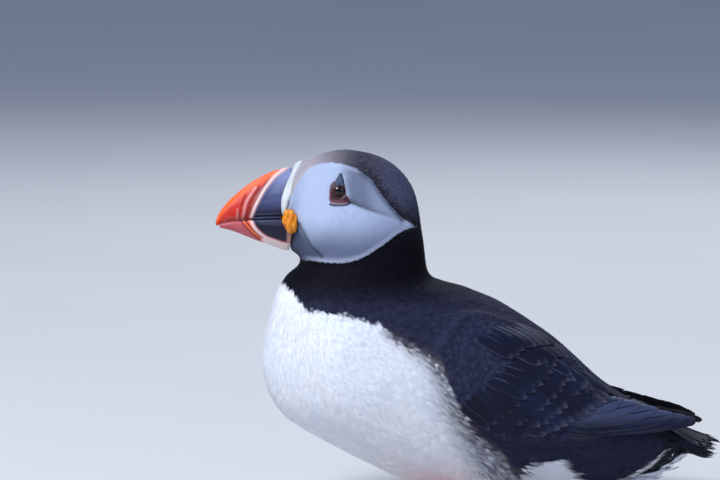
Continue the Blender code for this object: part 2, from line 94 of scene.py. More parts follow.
def spline(points: Sequence[Sequence[float]], steps: int = 8) -> Array:
    """The smooth curve through the points.

    Args:
        points: At least two points, of any dimension.
        steps: Samples between each two points.

    Returns:
        The samples, one row each.
    """
    known = np.array(points, float)
    padded = np.vstack([2 * known[0] - known[1], known, 2 * known[-1] - known[-2]])
    samples = []
    for a, b, c, d in zip(padded, padded[1:], padded[2:], padded[3:]):
        for t in np.arange(steps) / steps:
            samples.append(0.5 * (2 * b + (c - a) * t + (2 * a - 5 * b + 4 * c - d) * t**2
                                  + (3 * b - a - 3 * c + d) * t**3))
    samples.append(known[-1])
    return np.array(samples)


def along_spline(points: Sequence[Sequence[float]], share: float) -> Array:
    """The point of the smooth curve at that share of its samples."""
    curve = spline(points)
    place = share * (len(curve) - 1)
    low = min(int(place), len(curve) - 2)
    return curve[low] + (curve[low + 1] - curve[low]) * (place - low)


def distance_to(places: Array, curve: Array) -> tuple[Array, Array, Array]:
    """How far each place lies from a curve, on which side, and beside which part of it.

    Args:
        places: Points of the side view, one row each.
        curve: The curve's samples.

    Returns:
    Returns:
        The distances, the same with a minus for a place on the right of the curve's direction, and the
        share of the curve's samples at the nearest place.
    """
    steps = np.diff(curve, axis=0)
    offsets = places[:, None, :] - curve[None, :-1, :]
    shares = np.clip((offsets * steps).sum(-1) / np.maximum((steps**2).sum(-1), 1e-12), 0, 1)
    gaps = offsets - shares[..., None] * steps
    squares = (gaps**2).sum(-1)
    nearest = squares.argmin(1)
    rows = np.arange(len(places))
    offset, step = offsets[rows, nearest], steps[nearest]
    distance = np.sqrt(squares[rows, nearest])
    is_right = step[:, 0] * offset[:, 1] < step[:, 1] * offset[:, 0]
    share = (nearest + shares[rows, nearest]) / len(steps)
    return distance, np.where(is_right, -distance, distance), share


def inside(places: Array, outline: Array) -> Array:
    """Whether each place lies inside the closed outline."""
    found = np.zeros(len(places), bool)
    x, z = places[:, 0], places[:, 1]
    for (x0, z0), (x1, z1) in zip(outline, np.roll(outline, -1, axis=0)):
        if z0 == z1:
            continue
        crosses = (z0 > z) != (z1 > z)
        found ^= crosses & (x < x0 + (z - z0) / (z1 - z0) * (x1 - x0))
    return found


def depth_inside(places: Array, outline: Array) -> Array:
    """How deep each place lies inside the closed outline, and minus how far outside."""
    distance, _, _ = distance_to(places, np.vstack([outline, outline[:1]]))
    return np.where(inside(places, outline), distance, -distance)


def ramp(values: Array, low: float, high: float) -> Array:
    """A smooth step from 0 at low to 1 at high."""
    t = np.clip((values - low) / (high - low), 0, 1)
    return t * t * (3 - 2 * t)


def bell(values: Array, width: float | Array) -> Array:
    """1 at 0, and falling off to either side over that width."""
    return np.exp(-((values / width) ** 2))


def lie_ways(places: Array) -> Array:
    """The way the feathers lie at places of the side view, as unit X and Z."""
    guides = np.array(LIE, float)
    turn = np.radians(guides[:, 2])
    weights = 1 / (((places[:, None, :] - guides[None, :, :2]) ** 2).sum(-1) + 9.0) ** 1.5
    way = weights @ np.stack([np.cos(turn), np.sin(turn)], axis=1)
    return way / np.maximum(np.linalg.norm(way, axis=1), 1e-6)[:, None]


# ---------------------------------------------------------------- meshes


def new_object(name: str, data: bpy.types.ID) -> Object:
    """An object of the scene that holds that mesh, light or camera."""
    made = bpy.data.objects.new(name, data)
    bpy.context.scene.collection.objects.link(made)
    return made


def mesh_from(name: str, points: Array | Sequence, faces: Sequence) -> Mesh:
    """A smooth shaded mesh of those points and faces."""
    mesh = bpy.data.meshes.new(name)
    mesh.from_pydata([tuple(p) for p in points], [], [tuple(f) for f in faces])
    mesh.update()
    mesh.shade_smooth()
    return mesh


def remove(obj: Object) -> None:
    """Takes an object and its mesh out of the file."""
    mesh = obj.data
    bpy.data.objects.remove(obj, do_unlink=True)
    bpy.data.meshes.remove(mesh)


def read(items: bpy.types.bpy_prop_collection, key: str, width: int, kind: type = np.float32) -> Array:
    """One property of every item, one row each."""
    flat = np.empty(len(items) * width, kind)
    items.foreach_get(key, flat)
    return flat.reshape(-1, width)


def get_points(mesh: Mesh) -> Array:
    """The places of the mesh's vertices, one row each."""
    return read(mesh.vertices, "co", 3).astype(float)


def get_normals(mesh: Mesh) -> Array:
    """The normals of the mesh's vertices, one row each."""
    return read(mesh.vertex_normals, "vector", 3).astype(float)


def set_points(mesh: Mesh, points: Array) -> None:
    """Moves the mesh's vertices."""
    mesh.vertices.foreach_set("co", points.astype(np.float32).ravel())
    mesh.update()


def set_field(mesh: Mesh, name: str, values: Array) -> None:
    """Stores one number, or one vector, for each vertex."""
    kind, key = ("FLOAT_VECTOR", "vector") if values.ndim == 2 else ("FLOAT", "value")
    found = mesh.attributes.get(name) or mesh.attributes.new(name, kind, "POINT")
    found.data.foreach_set(key, values.astype(np.float32).ravel())


def spread(mesh: Mesh, values: Array, rounds: int) -> Array:
    """The values averaged with their neighbours along the mesh, that many times."""
    a, b = read(mesh.edges, "vertices", 2, np.int32).T
    count = len(mesh.vertices)
    degree = np.bincount(a, minlength=count) + np.bincount(b, minlength=count) + 1.0
    columns = values.reshape(count, -1).T.copy()
    for _ in range(rounds):
        for i, column in enumerate(columns):
            total = column + np.bincount(a, column[b], count) + np.bincount(b, column[a], count)
            columns[i] = total / degree
    return columns.T.reshape(values.shape)


@contextmanager
def editing(mesh: Mesh) -> Iterator[bmesh.types.BMesh]:
    """Opens the mesh for editing, and stores the changes at the end of the block."""
    bm = bmesh.new()
    bm.from_mesh(mesh)
    bm.verts.ensure_lookup_table()
    yield bm
    bm.to_mesh(mesh)
    bm.free()


def keep_outer_shell(mesh: Mesh) -> None:
    """Deletes every loose part but the one with the most vertices."""
    a, b = read(mesh.edges, "vertices", 2, np.int32).T
    labels, merged = None, np.arange(len(mesh.vertices))
    while labels is None or (merged != labels).any():
        labels, merged = merged, merged.copy()
        low = np.minimum(labels[a], labels[b])
        np.minimum.at(merged, a, low)
        np.minimum.at(merged, b, low)
        merged = merged[merged]
    loose = np.flatnonzero(labels != np.bincount(labels).argmax())
    if len(loose):
        with editing(mesh) as bm:
            bmesh.ops.delete(bm, geom=[bm.verts[i] for i in loose], context="VERTS")


def evaluated_mesh(obj: Object) -> Mesh:
    """A new mesh of what the object's modifiers make of it."""
    graph = bpy.context.evaluated_depsgraph_get()
    return bpy.data.meshes.new_from_object(obj.evaluated_get(graph))


def apply_modifiers(obj: Object) -> None:
    """Makes what the object's modifiers show its own mesh."""
    before = obj.data
    obj.data = evaluated_mesh(obj)
    obj.modifiers.clear()
    bpy.data.meshes.remove(before)


def refined(name: str, nodes: Sequence[str], voxel: float, rounds: int, grow: float = 0.0) -> Object:
    """One even, closed mesh in place of some CAD nodes, without their facets.

    Args:
        name: The new object's name.
        nodes: The CAD nodes that it follows.
        voxel: The size of its faces, in mm.
        rounds: How often its points are averaged with their neighbours.
        grow: How far the nodes are swollen before they merge, in mm.

    Returns:
        The new object.
    """
    made = new_object(name, bpy.data.meshes.new(name))
    with editing(made.data) as bm:
        for node_name in nodes:
            bm.from_mesh(frame["nodes"][node_name].data)
        bmesh.ops.remove_doubles(bm, verts=bm.verts, dist=1e-6)
        bm.normal_update()
        for vert in bm.verts:
            vert.co += vert.normal * grow * MM
    modifier = made.modifiers.new("even", "REMESH")
    modifier.mode = "VOXEL"
    modifier.voxel_size = voxel * MM
    apply_modifiers(made)
    keep_outer_shell(made.data)
    set_points(made.data, spread(made.data, get_points(made.data), rounds))
    made.data.shade_smooth()
    return made


def surface_of(nodes: Sequence[str], voxel: float, rounds: int, grow: float) -> BVHTree:
    """A smooth surface over some CAD nodes to lay things on, made as by refined()."""
    guide = refined("guide", nodes, voxel, rounds, grow)
    tree = BVHTree.FromObject(guide, bpy.context.evaluated_depsgraph_get())
    remove(guide)
    return tree


def quads(grid: Array) -> list[tuple[int, ...]]:
    """The faces between the rows and columns of a grid of vertex numbers."""
    corners = np.stack([grid[:-1, :-1], grid[1:, :-1], grid[1:, 1:], grid[:-1, 1:]], axis=-1)
    return [tuple(face) for face in corners.reshape(-1, 4).tolist()]


def round_off(obj: Object) -> None:
    """Subdivides an object once, so that its bends show no corners."""
    smooth = obj.modifiers.new("round", "SUBSURF")
    smooth.levels = smooth.render_levels = 1


def adopt(obj: Object, slot: str, *nodes: str, finish: Material | None = None) -> None:
    """Makes an object a piece of the bird.

    Args:
        obj: The finished object.
        slot: The record's material slot; not used.
        nodes: The CAD nodes that it stands for.
        finish: Its material, where it has none yet.
    """
    if finish:
        obj.data.materials.append(finish)
    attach(obj, BODY)
    if nodes:
        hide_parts(*nodes)
    count = sum(len(face.vertices) - 2 for face in obj.data.polygons)
    log.info("%-24s %7d triangles", obj.name, count)


def adopt_pair(left: Object, name: str) -> None:
    """Makes an object of the left side, and its mirror image, black pieces of the bird."""
    right = new_object(f"{name}_right", left.data.copy())
    right.data.name = right.name
    with editing(right.data) as bm:
        bm.transform(Matrix.Diagonal((1, -1, 1, 1)))
        bmesh.ops.reverse_faces(bm, faces=bm.faces)
    adopt(left, "black_feathers")
    adopt(right, "black_feathers")


# ---------------------------------------------------------------- nodes and finishes


def colour(code: str) -> Colour:
    """The linear colour of an sRGB hex code."""
    parts = [int(code[i : i + 2], 16) / 255 for i in (0, 2, 4)]
    linear = [p / 12.92 if p <= 0.04045 else ((p + 0.055) / 1.055) ** 2.4 for p in parts]
    return (*linear, 1.0)


def find_socket(sockets: Sequence[Socket], key: int | str) -> Socket:
    """The socket at that place, or with that identifier or name."""
    if isinstance(key, int):
        return sockets[key]
    return next(s for label in ("identifier", "name") for s in sockets if getattr(s, label) == key)


def add_node(tree: Tree, kind: str, inputs: dict | Sequence = (), output: int | str = 0,
             **settings: object) -> Socket:
    """Adds one node, with its settings and links.

    Args:
        tree: The tree that it goes in.
        kind: The node's type, without the family that it belongs to.
        inputs: What its inputs get, by identifier or name, or in order: a value, a hex colour or a socket.
        output: Which output to return.
        settings: The node's own properties.

    Returns:
        One of its outputs, or its first input where it has no output.
    """
    families = ("ShaderNode", "Node") if tree.type == "SHADER" else NODE_FAMILIES
    made = tree.nodes.new(next(family + kind for family in families if hasattr(bpy.types, family + kind)))
    for key, value in settings.items():
        setattr(made, key, value)
    for key, value in inputs.items() if isinstance(inputs, dict) else enumerate(inputs):
        socket = find_socket(made.inputs, key)
        if isinstance(value, Socket):
            tree.links.new(value, socket)
        else:
            socket.default_value = colour(value) if socket.type == "RGBA" else value
    return find_socket(made.outputs, output) if len(made.outputs) else made.inputs[0]


def paint(node: Callable, tone: Socket | str, *layers: tuple) -> Socket:
    """Paints colours over one another.

    Args:
        node: The function that adds a node to the material.
        tone: The lowest colour.
        layers: For each coat of paint, its colour and its share. Where a span follows, that share is 0
            from the span's first value and 1, or its third value, from its second. It goes from one to
            the other smoothly, or in a straight line where the span ends with True.

    Returns:
        The colour on top.
    """
    for over, share, *span in layers:
        if span:
            low, high, most, is_straight = (*span, *(1.0, False)[len(span) - 2:])
            share = node("MapRange", {"Value": share, "From Min": low, "From Max": high, "To Max": most},
                         interpolation_type="LINEAR" if is_straight else "SMOOTHSTEP")
        tone = node("Mix", {"Factor_Float": share, "A_Color": tone, "B_Color": over}, "Result_Color",
                    data_type="RGBA")
    return tone


def new_material(name: str, **settings: object) -> tuple[Material, Callable, Socket]:
    """A new material, with constant values for its shader's own sockets.

    Args:
        name: The material's name.
        settings: The values, by the sockets' names with _ for a space.

    Returns:
        The material, the function that adds a node to it, and its object coordinates.
    """
    made = bpy.data.materials.new(name)
    made.use_nodes = True
    shader = made.node_tree.nodes["Principled BSDF"]
    for key, value in settings.items():
        shader.inputs[key.replace("_", " ").title().replace("Ior", "IOR")].default_value = value
    node = partial(add_node, made.node_tree)
    return made, node, node("TexCoord", output="Object")


def complete(made: Material, tone: Socket, relief: Socket | None = None, depth: float = 0.0,
             strength: float = 1.0) -> Material:
    """Links a material's colour, and its relief where it has any, with the depth in mm."""
    tree = made.node_tree
    shader = tree.nodes["Principled BSDF"]
    tree.links.new(tone, shader.inputs["Base Color"])
    if relief is not None:
        inputs = {"Strength": strength, "Distance": depth * MM, "Height": relief}
        tree.links.new(add_node(tree, "Bump", inputs, "Normal"), shader.inputs["Normal"])
    return made


@dataclass(frozen=True)
class ContourFeathers:
    """Body plumage: keratin barbs, soft and matt, so the black stays deep and the white is silky.

    The skin and the coat share it. It reads the fields of the skin, so both carry the same markings:
    how deep a place lies in the face patch and in the white underparts, how near it is to a crease,
    whose fold is darkened with painted shade, and how much of the pale rim, the brown fringe and the
    lores it has.
    """

    white: str = "fafcff"
    white_shade: str = "f0f5ff"
    face: str = "b8c5e0"
    face_rear_grey_and_shade: str = "a9b4cf"
    face_low_grey_and_shade: str = "59617c"
    rim: str = "cdd6e8"
    lore: str = "4c536a"
    # The colour of the painted shade in the creases.
    crease: str = "1c1f2e"
    forehead_grey_and_highlight: str = "c2bac0"
    crown: str = "3c3b49"
    nape_grey_and_skylight: str = "4b4f6b"
    collar: str = "0a0a12"
    mantle: str = "262940"
    crown_edge: str = "8b8794"
    collar_edge: str = "23232c"
    mantle_edge: str = "50526b"
    fringe: str = "6e6766"
    fringe_pale: str = "6c6d7b"

    def make(self) -> Material:
        """Builds the material."""
        made, node, place = new_material("contour_feathers", roughness=0.7, specular_ior_level=0.09,
                                         sheen_weight=0.01, sheen_roughness=0.5)
        x, z = (node("SeparateXYZ", (place,), axis) for axis in "XZ")
        luck, along, face_edge, white_edge, crease, lore, rim, fringe = (
            node("Attribute", output="Fac", attribute_name=name)
            for name in ("luck", "along", "face_edge", "white_edge", "crease", "lore", "rim", "fringe"))

        # Black parts: a grey forehead, a greyer crown and nape, a deep black collar and a blue black back.
        # The paler forehead, crown and nape are partly their own grey and partly painted light from above.
        # Painted shade darkens the hood along its edge, where it hangs over the cheek.
        behind = node("MapRange", {"Value": x, "From Min": -0.060, "From Max": -0.046, "To Max": 0.7})
        tone = paint(node, self.forehead_grey_and_highlight, (self.crown, x, -0.081, -0.050), (self.nape_grey_and_skylight, x, -0.052, -0.034),
                     (self.collar, z, 0.146, 0.126), (self.mantle, z, 0.106, 0.090),
                     (self.collar, face_edge, -5.0, -0.8, behind))
        # Some feathers have paler tips.
        tips = paint(node, self.mantle_edge, (self.collar_edge, z, 0.094, 0.108, 1.0, True),
                     (self.crown_edge, z, 0.122, 0.138, 1.0, True))
        share = node("Math", (luck, 2.6), operation="POWER")
        share = node("Math", (share, 0.42), operation="MULTIPLY")
        tone = paint(node, tone, (tips, along, 0.3, 1.0, share, True))

        # White parts, a little blue in drifts. Brown and grey feathers fringe them towards the wing.
        drift = node("TexNoise", {"Vector": place, "Scale": 30.0, "Detail": 2.0}, "Fac")
        white = paint(node, self.white, (self.white_shade, drift, 0.4, 0.8, 1.0, True))
        mixed = luck
        for operation, *values in (("MULTIPLY", 7.0), ("FRACT",), ("MULTIPLY_ADD", 0.8, 0.35),
                                   ("MULTIPLY", fringe)):
            mixed = node("Math", (mixed, *values), operation=operation)
        jitter = node("Math", (luck, 0.5), operation="SUBTRACT")
        spread_mm = node("Math", (fringe, 6.0, 0.8), operation="MULTIPLY_ADD")
        edge = node("Math", (jitter, spread_mm, white_edge), operation="MULTIPLY_ADD")
        white = paint(node, white, (self.fringe_pale, mixed))
        tone = paint(node, tone, (self.fringe, mixed), (white, edge, -0.4, 0.4))

        # The face: bluish white, greyer to the rear and below, partly its own grey and partly painted shade,
        # with a pale rim, and painted shade in its creases.
        face = paint(node, self.face, (self.face_rear_grey_and_shade, x, -0.060, -0.040, 0.9),
                     (self.face_low_grey_and_shade, z, 0.136, 0.118, 0.9), (self.lore, lore), (self.rim, rim),
                     (self.crease, crease))
        edge = node("Math", (jitter, 0.5, face_edge), operation="MULTIPLY_ADD")
        return complete(made, paint(node, tone, (face, edge, -0.15, 0.15)))


@dataclass(frozen=True)
class FlightFeathers:
    """Wing and tail vanes: stiff keratin barbs, low shine, edges paler from wear and painted highlight."""

    name: str = "flight_feathers"
    vane: str = "101426"
    sheen: str = "1b2240"
    edge: str = "5d5d6e"
    shaft: str = "15151c"
    roughness: float = 0.5
    specular: float = 0.14
    upper: str = "3e4663"
    skylight_from: Point = (0.0, 0.0)
    wear_and_highlight: float = 0.7

    def make(self) -> Material:
        """Builds the material."""
        made, node, place = new_material(self.name, roughness=self.roughness,
                                         specular_ior_level=self.specular)
        luck, across, along = (node("Attribute", output="Fac", attribute_name=name)
                               for name in ("luck", "across", "along"))
        side = node("Math", (across,), operation="ABSOLUTE")
        # Bluish patches of painted sheen.
        patches = node("TexNoise", {"Vector": place, "Scale": 50.0, "Detail": 2.0}, "Fac")
        layers = [(self.sheen, patches, 0.4, 0.7, 1.0, True)]
        if self.skylight_from[1]:
            # Painted skylight: the upper vanes of a stack are painted lighter, as if they catch the sky.
            z = node("SeparateXYZ", (place,), "Z")
            layers.append((self.upper, z, self.skylight_from[0] * MM, self.skylight_from[1] * MM, 1.0, True))
        # Some feathers have paler edges and tips, partly worn and partly painted highlight.
        rim, tip = (node("MapRange", {"Value": source, "From Min": low, "From Max": 1.0},
                         interpolation_type="SMOOTHSTEP") for source, low in ((side, 0.70), (along, 0.86)))
        worn_and_highlit = rim
        for operation, value in (("MAXIMUM", tip), ("MULTIPLY", luck), ("MULTIPLY", self.wear_and_highlight)):
            worn_and_highlit = node("Math", (worn_and_highlit, value), operation=operation)
        tone = paint(node, self.vane, *layers, (self.shaft, side, 0.10, 0.03), (self.edge, worn_and_highlit))
        # Barbs slant from the shaft to the edge. Real ones are 0.3 mm apart; these show at twice that.
        barbs = node("Math", (side, -0.16, along), operation="MULTIPLY_ADD")
        barbs = node("Math", (barbs, 260.0), operation="MULTIPLY")
        barbs = node("Math", (barbs,), operation="SINE")
        return complete(made, tone, barbs, 0.1, 0.15)


@dataclass(frozen=True)
class BillHorn:
    """Rhamphotheca: grooved, polished horn in red, cream and slate, duller in the grooves."""

    red: str = "cc2e1f"
    orange: str = "fb6a2c"
    pink: str = "bd5a60"
    groove: str = "5e1f22"
    cream: str = "e9d3cd"
    slate: str = "454d72"
    slate_light: str = "8791bd"
    slate_dark: str = "211f33"
    horn_brown: str = "b58c80"

    def make(self) -> Material:
        """Builds the material."""
        made, node, place = new_material("bill_horn", roughness=0.46, specular_ior_level=0.22,
                                         coat_weight=0.03, coat_roughness=0.25)
        z = node("SeparateXYZ", (place,), "Z")
        plate, cream_line, dark_line, culmen, lower_bill, brown, lip = (
            node("Attribute", output="Fac", attribute_name=name)
            for name in ("plate", "cream_line", "dark_line", "culmen", "lower_bill", "brown", "lip"))
        streaks = node("Mapping", {"Vector": place, "Scale": (150.0, 300.0, 420.0),
                                   "Rotation": (0.0, 0.7, 0.0)})
        streaks = node("TexNoise", {"Vector": streaks, "Scale": 1.0, "Detail": 4.0}, "Fac")
        # Red horn, more orange along the culmen, pinker below the mouth, and rubbed pale in streaks.
        front = paint(node, self.red, (self.pink, lower_bill), (self.cream, streaks, 0.5, 0.8, 0.14, True),
                      (self.orange, culmen))
        # The slate plate is lighter towards the culmen, and darkest on the lower bill.
        slate = paint(node, self.slate, (self.slate_light, z, 0.142, 0.157),
                      (self.slate_dark, z, 0.1415, 0.134))
        tone = paint(node, front, (slate, plate), (self.horn_brown, brown), (self.groove, dark_line),
                     (self.cream, cream_line), (self.slate_light, lip))
        return complete(made, tone, streaks, 0.2, 0.25)


@dataclass(frozen=True)
class SoftHorn:
    """Skin or dull horn with grain: two colours in patches, and a third where its rim field is high."""

    name: str
    light: str
    dark: str
    roughness: float = 0.5
    grain_mm: float = 0.8
    bump_mm: float = 0.1
    specular: float = 0.4
    rim: str = ""

    def make(self) -> Material:
        """Builds the material."""
        made, node, place = new_material(self.name, roughness=self.roughness,
                                         specular_ior_level=self.specular)
        grain = node("TexNoise", {"Vector": place, "Scale": 1 / (self.grain_mm * MM), "Detail": 3.0}, "Fac")
        layers = [(self.light, grain, 0.35, 0.7, 1.0, True)]
        if self.rim:
            layers.append((self.rim, node("Attribute", output="Fac", attribute_name="rim")))
        return complete(made, paint(node, self.dark, *layers), grain, self.bump_mm, 0.6)


@dataclass(frozen=True)
class ScutedSkin:
    """Legs and webs: skin in small horny scales, with paler scales and dark lines between them."""

    light: str = "ea5526"
    dark: str = "b83a18"
    scale_mm: float = 0.75

    def make(self) -> Material:
        """Builds the material."""
        made, node, place = new_material("scuted_skin", roughness=0.45, specular_ior_level=0.45)
        seams = node("TexVoronoi", {"Vector": place, "Scale": 1 / (self.scale_mm * MM)}, "Distance",
                     feature="DISTANCE_TO_EDGE")
        seams = node("MapRange", {"Value": seams, "From Min": 0.0, "From Max": 0.16},
                     interpolation_type="SMOOTHSTEP")
        return complete(made, paint(node, self.dark, (self.light, seams)), seams, 0.2, 0.7)


@dataclass(frozen=True)
class EyeSurface:
    """The eye: a wet clear front over a dark brown iris and a black pupil."""

    pupil: str = "050405"
    iris: str = "2a1712"
    edge: str = "140a0a"

    def make(self) -> Material:
        """Builds the material."""
        made, node, _ = new_material("wet_eye", roughness=0.1, specular_ior_level=0.3, coat_weight=0.35,
                                     coat_roughness=0.02)
        gaze = node("Attribute", output="Fac", attribute_name="gaze")
        return complete(made, paint(node, self.pupil, (self.iris, gaze, 1.5, 1.75),
                                    (self.edge, gaze, 2.5, 3.0)))


# ---------------------------------------------------------------- the skin and its fields

# Markings in the side view, as X and Z in mm.
FACE_OUTLINE: tuple[Point, ...] = (
    (-83.0, 146.0), (-79.6, 152.5), (-74.3, 157.6), (-66.2, 159.2), (-57.3, 157.7), (-48.5, 152.9),
    (-42.0, 144.2), (-35.1, 136.6), (-28.8, 130.9), (-25.6, 129.6), (-31.4, 128.8), (-36.5, 126.8),
    (-44.9, 121.4), (-54.1, 116.4), (-63.1, 114.5), (-75.9, 114.6), (-84.0, 115.2), (-92.0, 130.0),
)
# The lower edge of the black, from the throat to under the tail.
WHITE_EDGE: tuple[Point, ...] = (
    (-92.0, 110.0), (-84.4, 103.6), (-81.1, 98.4), (-76.9, 96.1), (-68.3, 94.3), (-59.5, 92.3),
    (-52.5, 89.9), (-49.2, 90.7), (-46.3, 86.2), (-37.5, 79.5), (-29.4, 75.8), (-23.0, 68.0),
    (-18.0, 57.0), (-13.5, 46.0), (-9.1, 37.1), (-0.8, 31.2), (4.0, 27.3), (7.7, 20.8), (10.5, 14.0),
    (13.8, 14.0), (17.3, 20.6), (24.0, 22.5), (31.0, 22.8), (35.0, 19.5), (39.0, 13.5), (46.0, 9.0),
    (60.0, 7.5), (72.0, 12.0), (82.0, 18.5), (90.0, 23.0), (97.0, 26.0), (112.0, 28.0),
)
# The brown fringe lies along this line, under the front edge of the wing.
FRINGE: tuple[Point, ...] = ((-46.0, 86.0), (-29.0, 75.0), (-20.0, 65.0), (-16.0, 54.0), (-11.0, 42.0),
                             (-4.0, 31.0), (3.0, 22.0), (8.0, 14.0))
# The folded arm wing in the side view, from the shoulder back.
WING_TOP: tuple[Point, ...] = ((-22.0, 80.0), (-10.5, 92.0), (6.5, 90.5), (24.5, 83.0), (40.5, 72.5),
                               (52.5, 60.5), (61.0, 52.6))
WING_LOW: tuple[Point, ...] = ((-23.0, 76.0), (-21.0, 62.0), (-12.5, 46.0), (2.5, 35.5), (22.5, 31.0),
                               (39.5, 32.5), (55.5, 34.0))
BILL_BASE: tuple[Point, ...] = ((-78.5, 158.5), (-83.5, 150.0), (-86.0, 141.5), (-86.6, 134.5),
                                (-86.4, 125.0), (-86.0, 117.5))
# Which way the feathers lie: a place in the side view, and the angle above the tailward axis in degrees.
LIE: tuple[tuple[float, float, float], ...] = (
    (-82, 140, 5), (-76, 158, 24), (-60, 164, 6), (-44, 162, -16), (-32, 154, -45), (-23, 138, -78),
    (-21, 120, -76), (-66, 150, 8), (-55, 140, -6), (-60, 125, -14), (-42, 132, -4), (-33, 131, 2),
    (-82, 118, -40), (-84, 112, -112), (-89, 101, -108), (-72, 106, -48), (-60, 104, -22), (-38, 108, -26),
    (-94, 88, -100), (-96, 70, -88), (-91, 54, -70), (-82, 40, -52), (-70, 31, -36), (-84, 85, -70),
    (-60, 80, -38), (-75, 55, -60), (-45, 60, -34), (-40, 22, -32), (-25, 50, -26), (-15, 30, -24),
    (5, 14, -30), (1, 19, -58), (-5, 75, -24), (20, 55, -24), (45, 42, -16), (0, 98, -14), (25, 88, -30),
    (50, 68, -40), (70, 52, -34), (90, 38, -26), (30, 15, -8), (60, 10, 2), (82, 13, 20), (96, 20, 28),
)


@dataclass(frozen=True)
class Crease:
    """A fold of the face: its line, how deep and wide it is at each end, and how dark its painted shade is.
    """

    line: tuple[Point, ...]
    depth: Point
    width: Point
    dark: Point


# Each crease is cut into the skin and darkened with painted shade in its fold; the furrow behind the eye
# also has a dark line of its own.
CREASES: tuple[Crease, ...] = (
    # The furrow behind the eye.
    Crease(((-59.0, 142.4), (-57.0, 141.8), (-51.0, 139.2), (-46.0, 137.4), (-40.9, 135.6), (-36.0, 133.6)),
           (1.6, 0.3), (1.2, 1.3), (1.1, 0.1)),
    # In front of the cheek.
    Crease(((-81.4, 131.0), (-79.8, 127.6), (-78.1, 124.0), (-76.1, 120.6), (-71.5, 116.4)), (0.7, 0.9),
           (1.0, 1.3), (0.7, 0.6)),
    # Where the hood overhangs the cheek.
    Crease(((-52.0, 154.4), (-47.5, 151.0), (-43.0, 144.8), (-38.0, 139.0), (-32.5, 133.2)), (0.6, 1.7),
           (1.6, 2.1), (0.4, 0.6)),
    # Behind the ridge of the bill.
    Crease(((-78.0, 157.5), (-80.9, 154.3), (-83.1, 150.0), (-84.7, 145.5), (-85.5, 139.0)), (0.5, 0.5),
           (0.7, 0.7), (0.7, 0.7)),
)


class Zone(Enum):
    """The parts of the coat, with each one's feather length, breadth and lift in mm."""

    FACE = (2.6, 0.6, 0.08)
    CROWN = (3.8, 0.95, 0.75)
    NECK = (5.6, 0.95, 0.75)
    BACK = (9.0, 2.6, 1.1)
    WING = (6.5, 3.2, 0.45)
    UNDER = (9.5, 1.35, 1.1)
    VENT = (11.0, 1.5, 2.4)

    @property
    def mask(self) -> str:
        """The name of the field that is 1 where this part grows."""
        return f"grows_{self.name.lower()}"


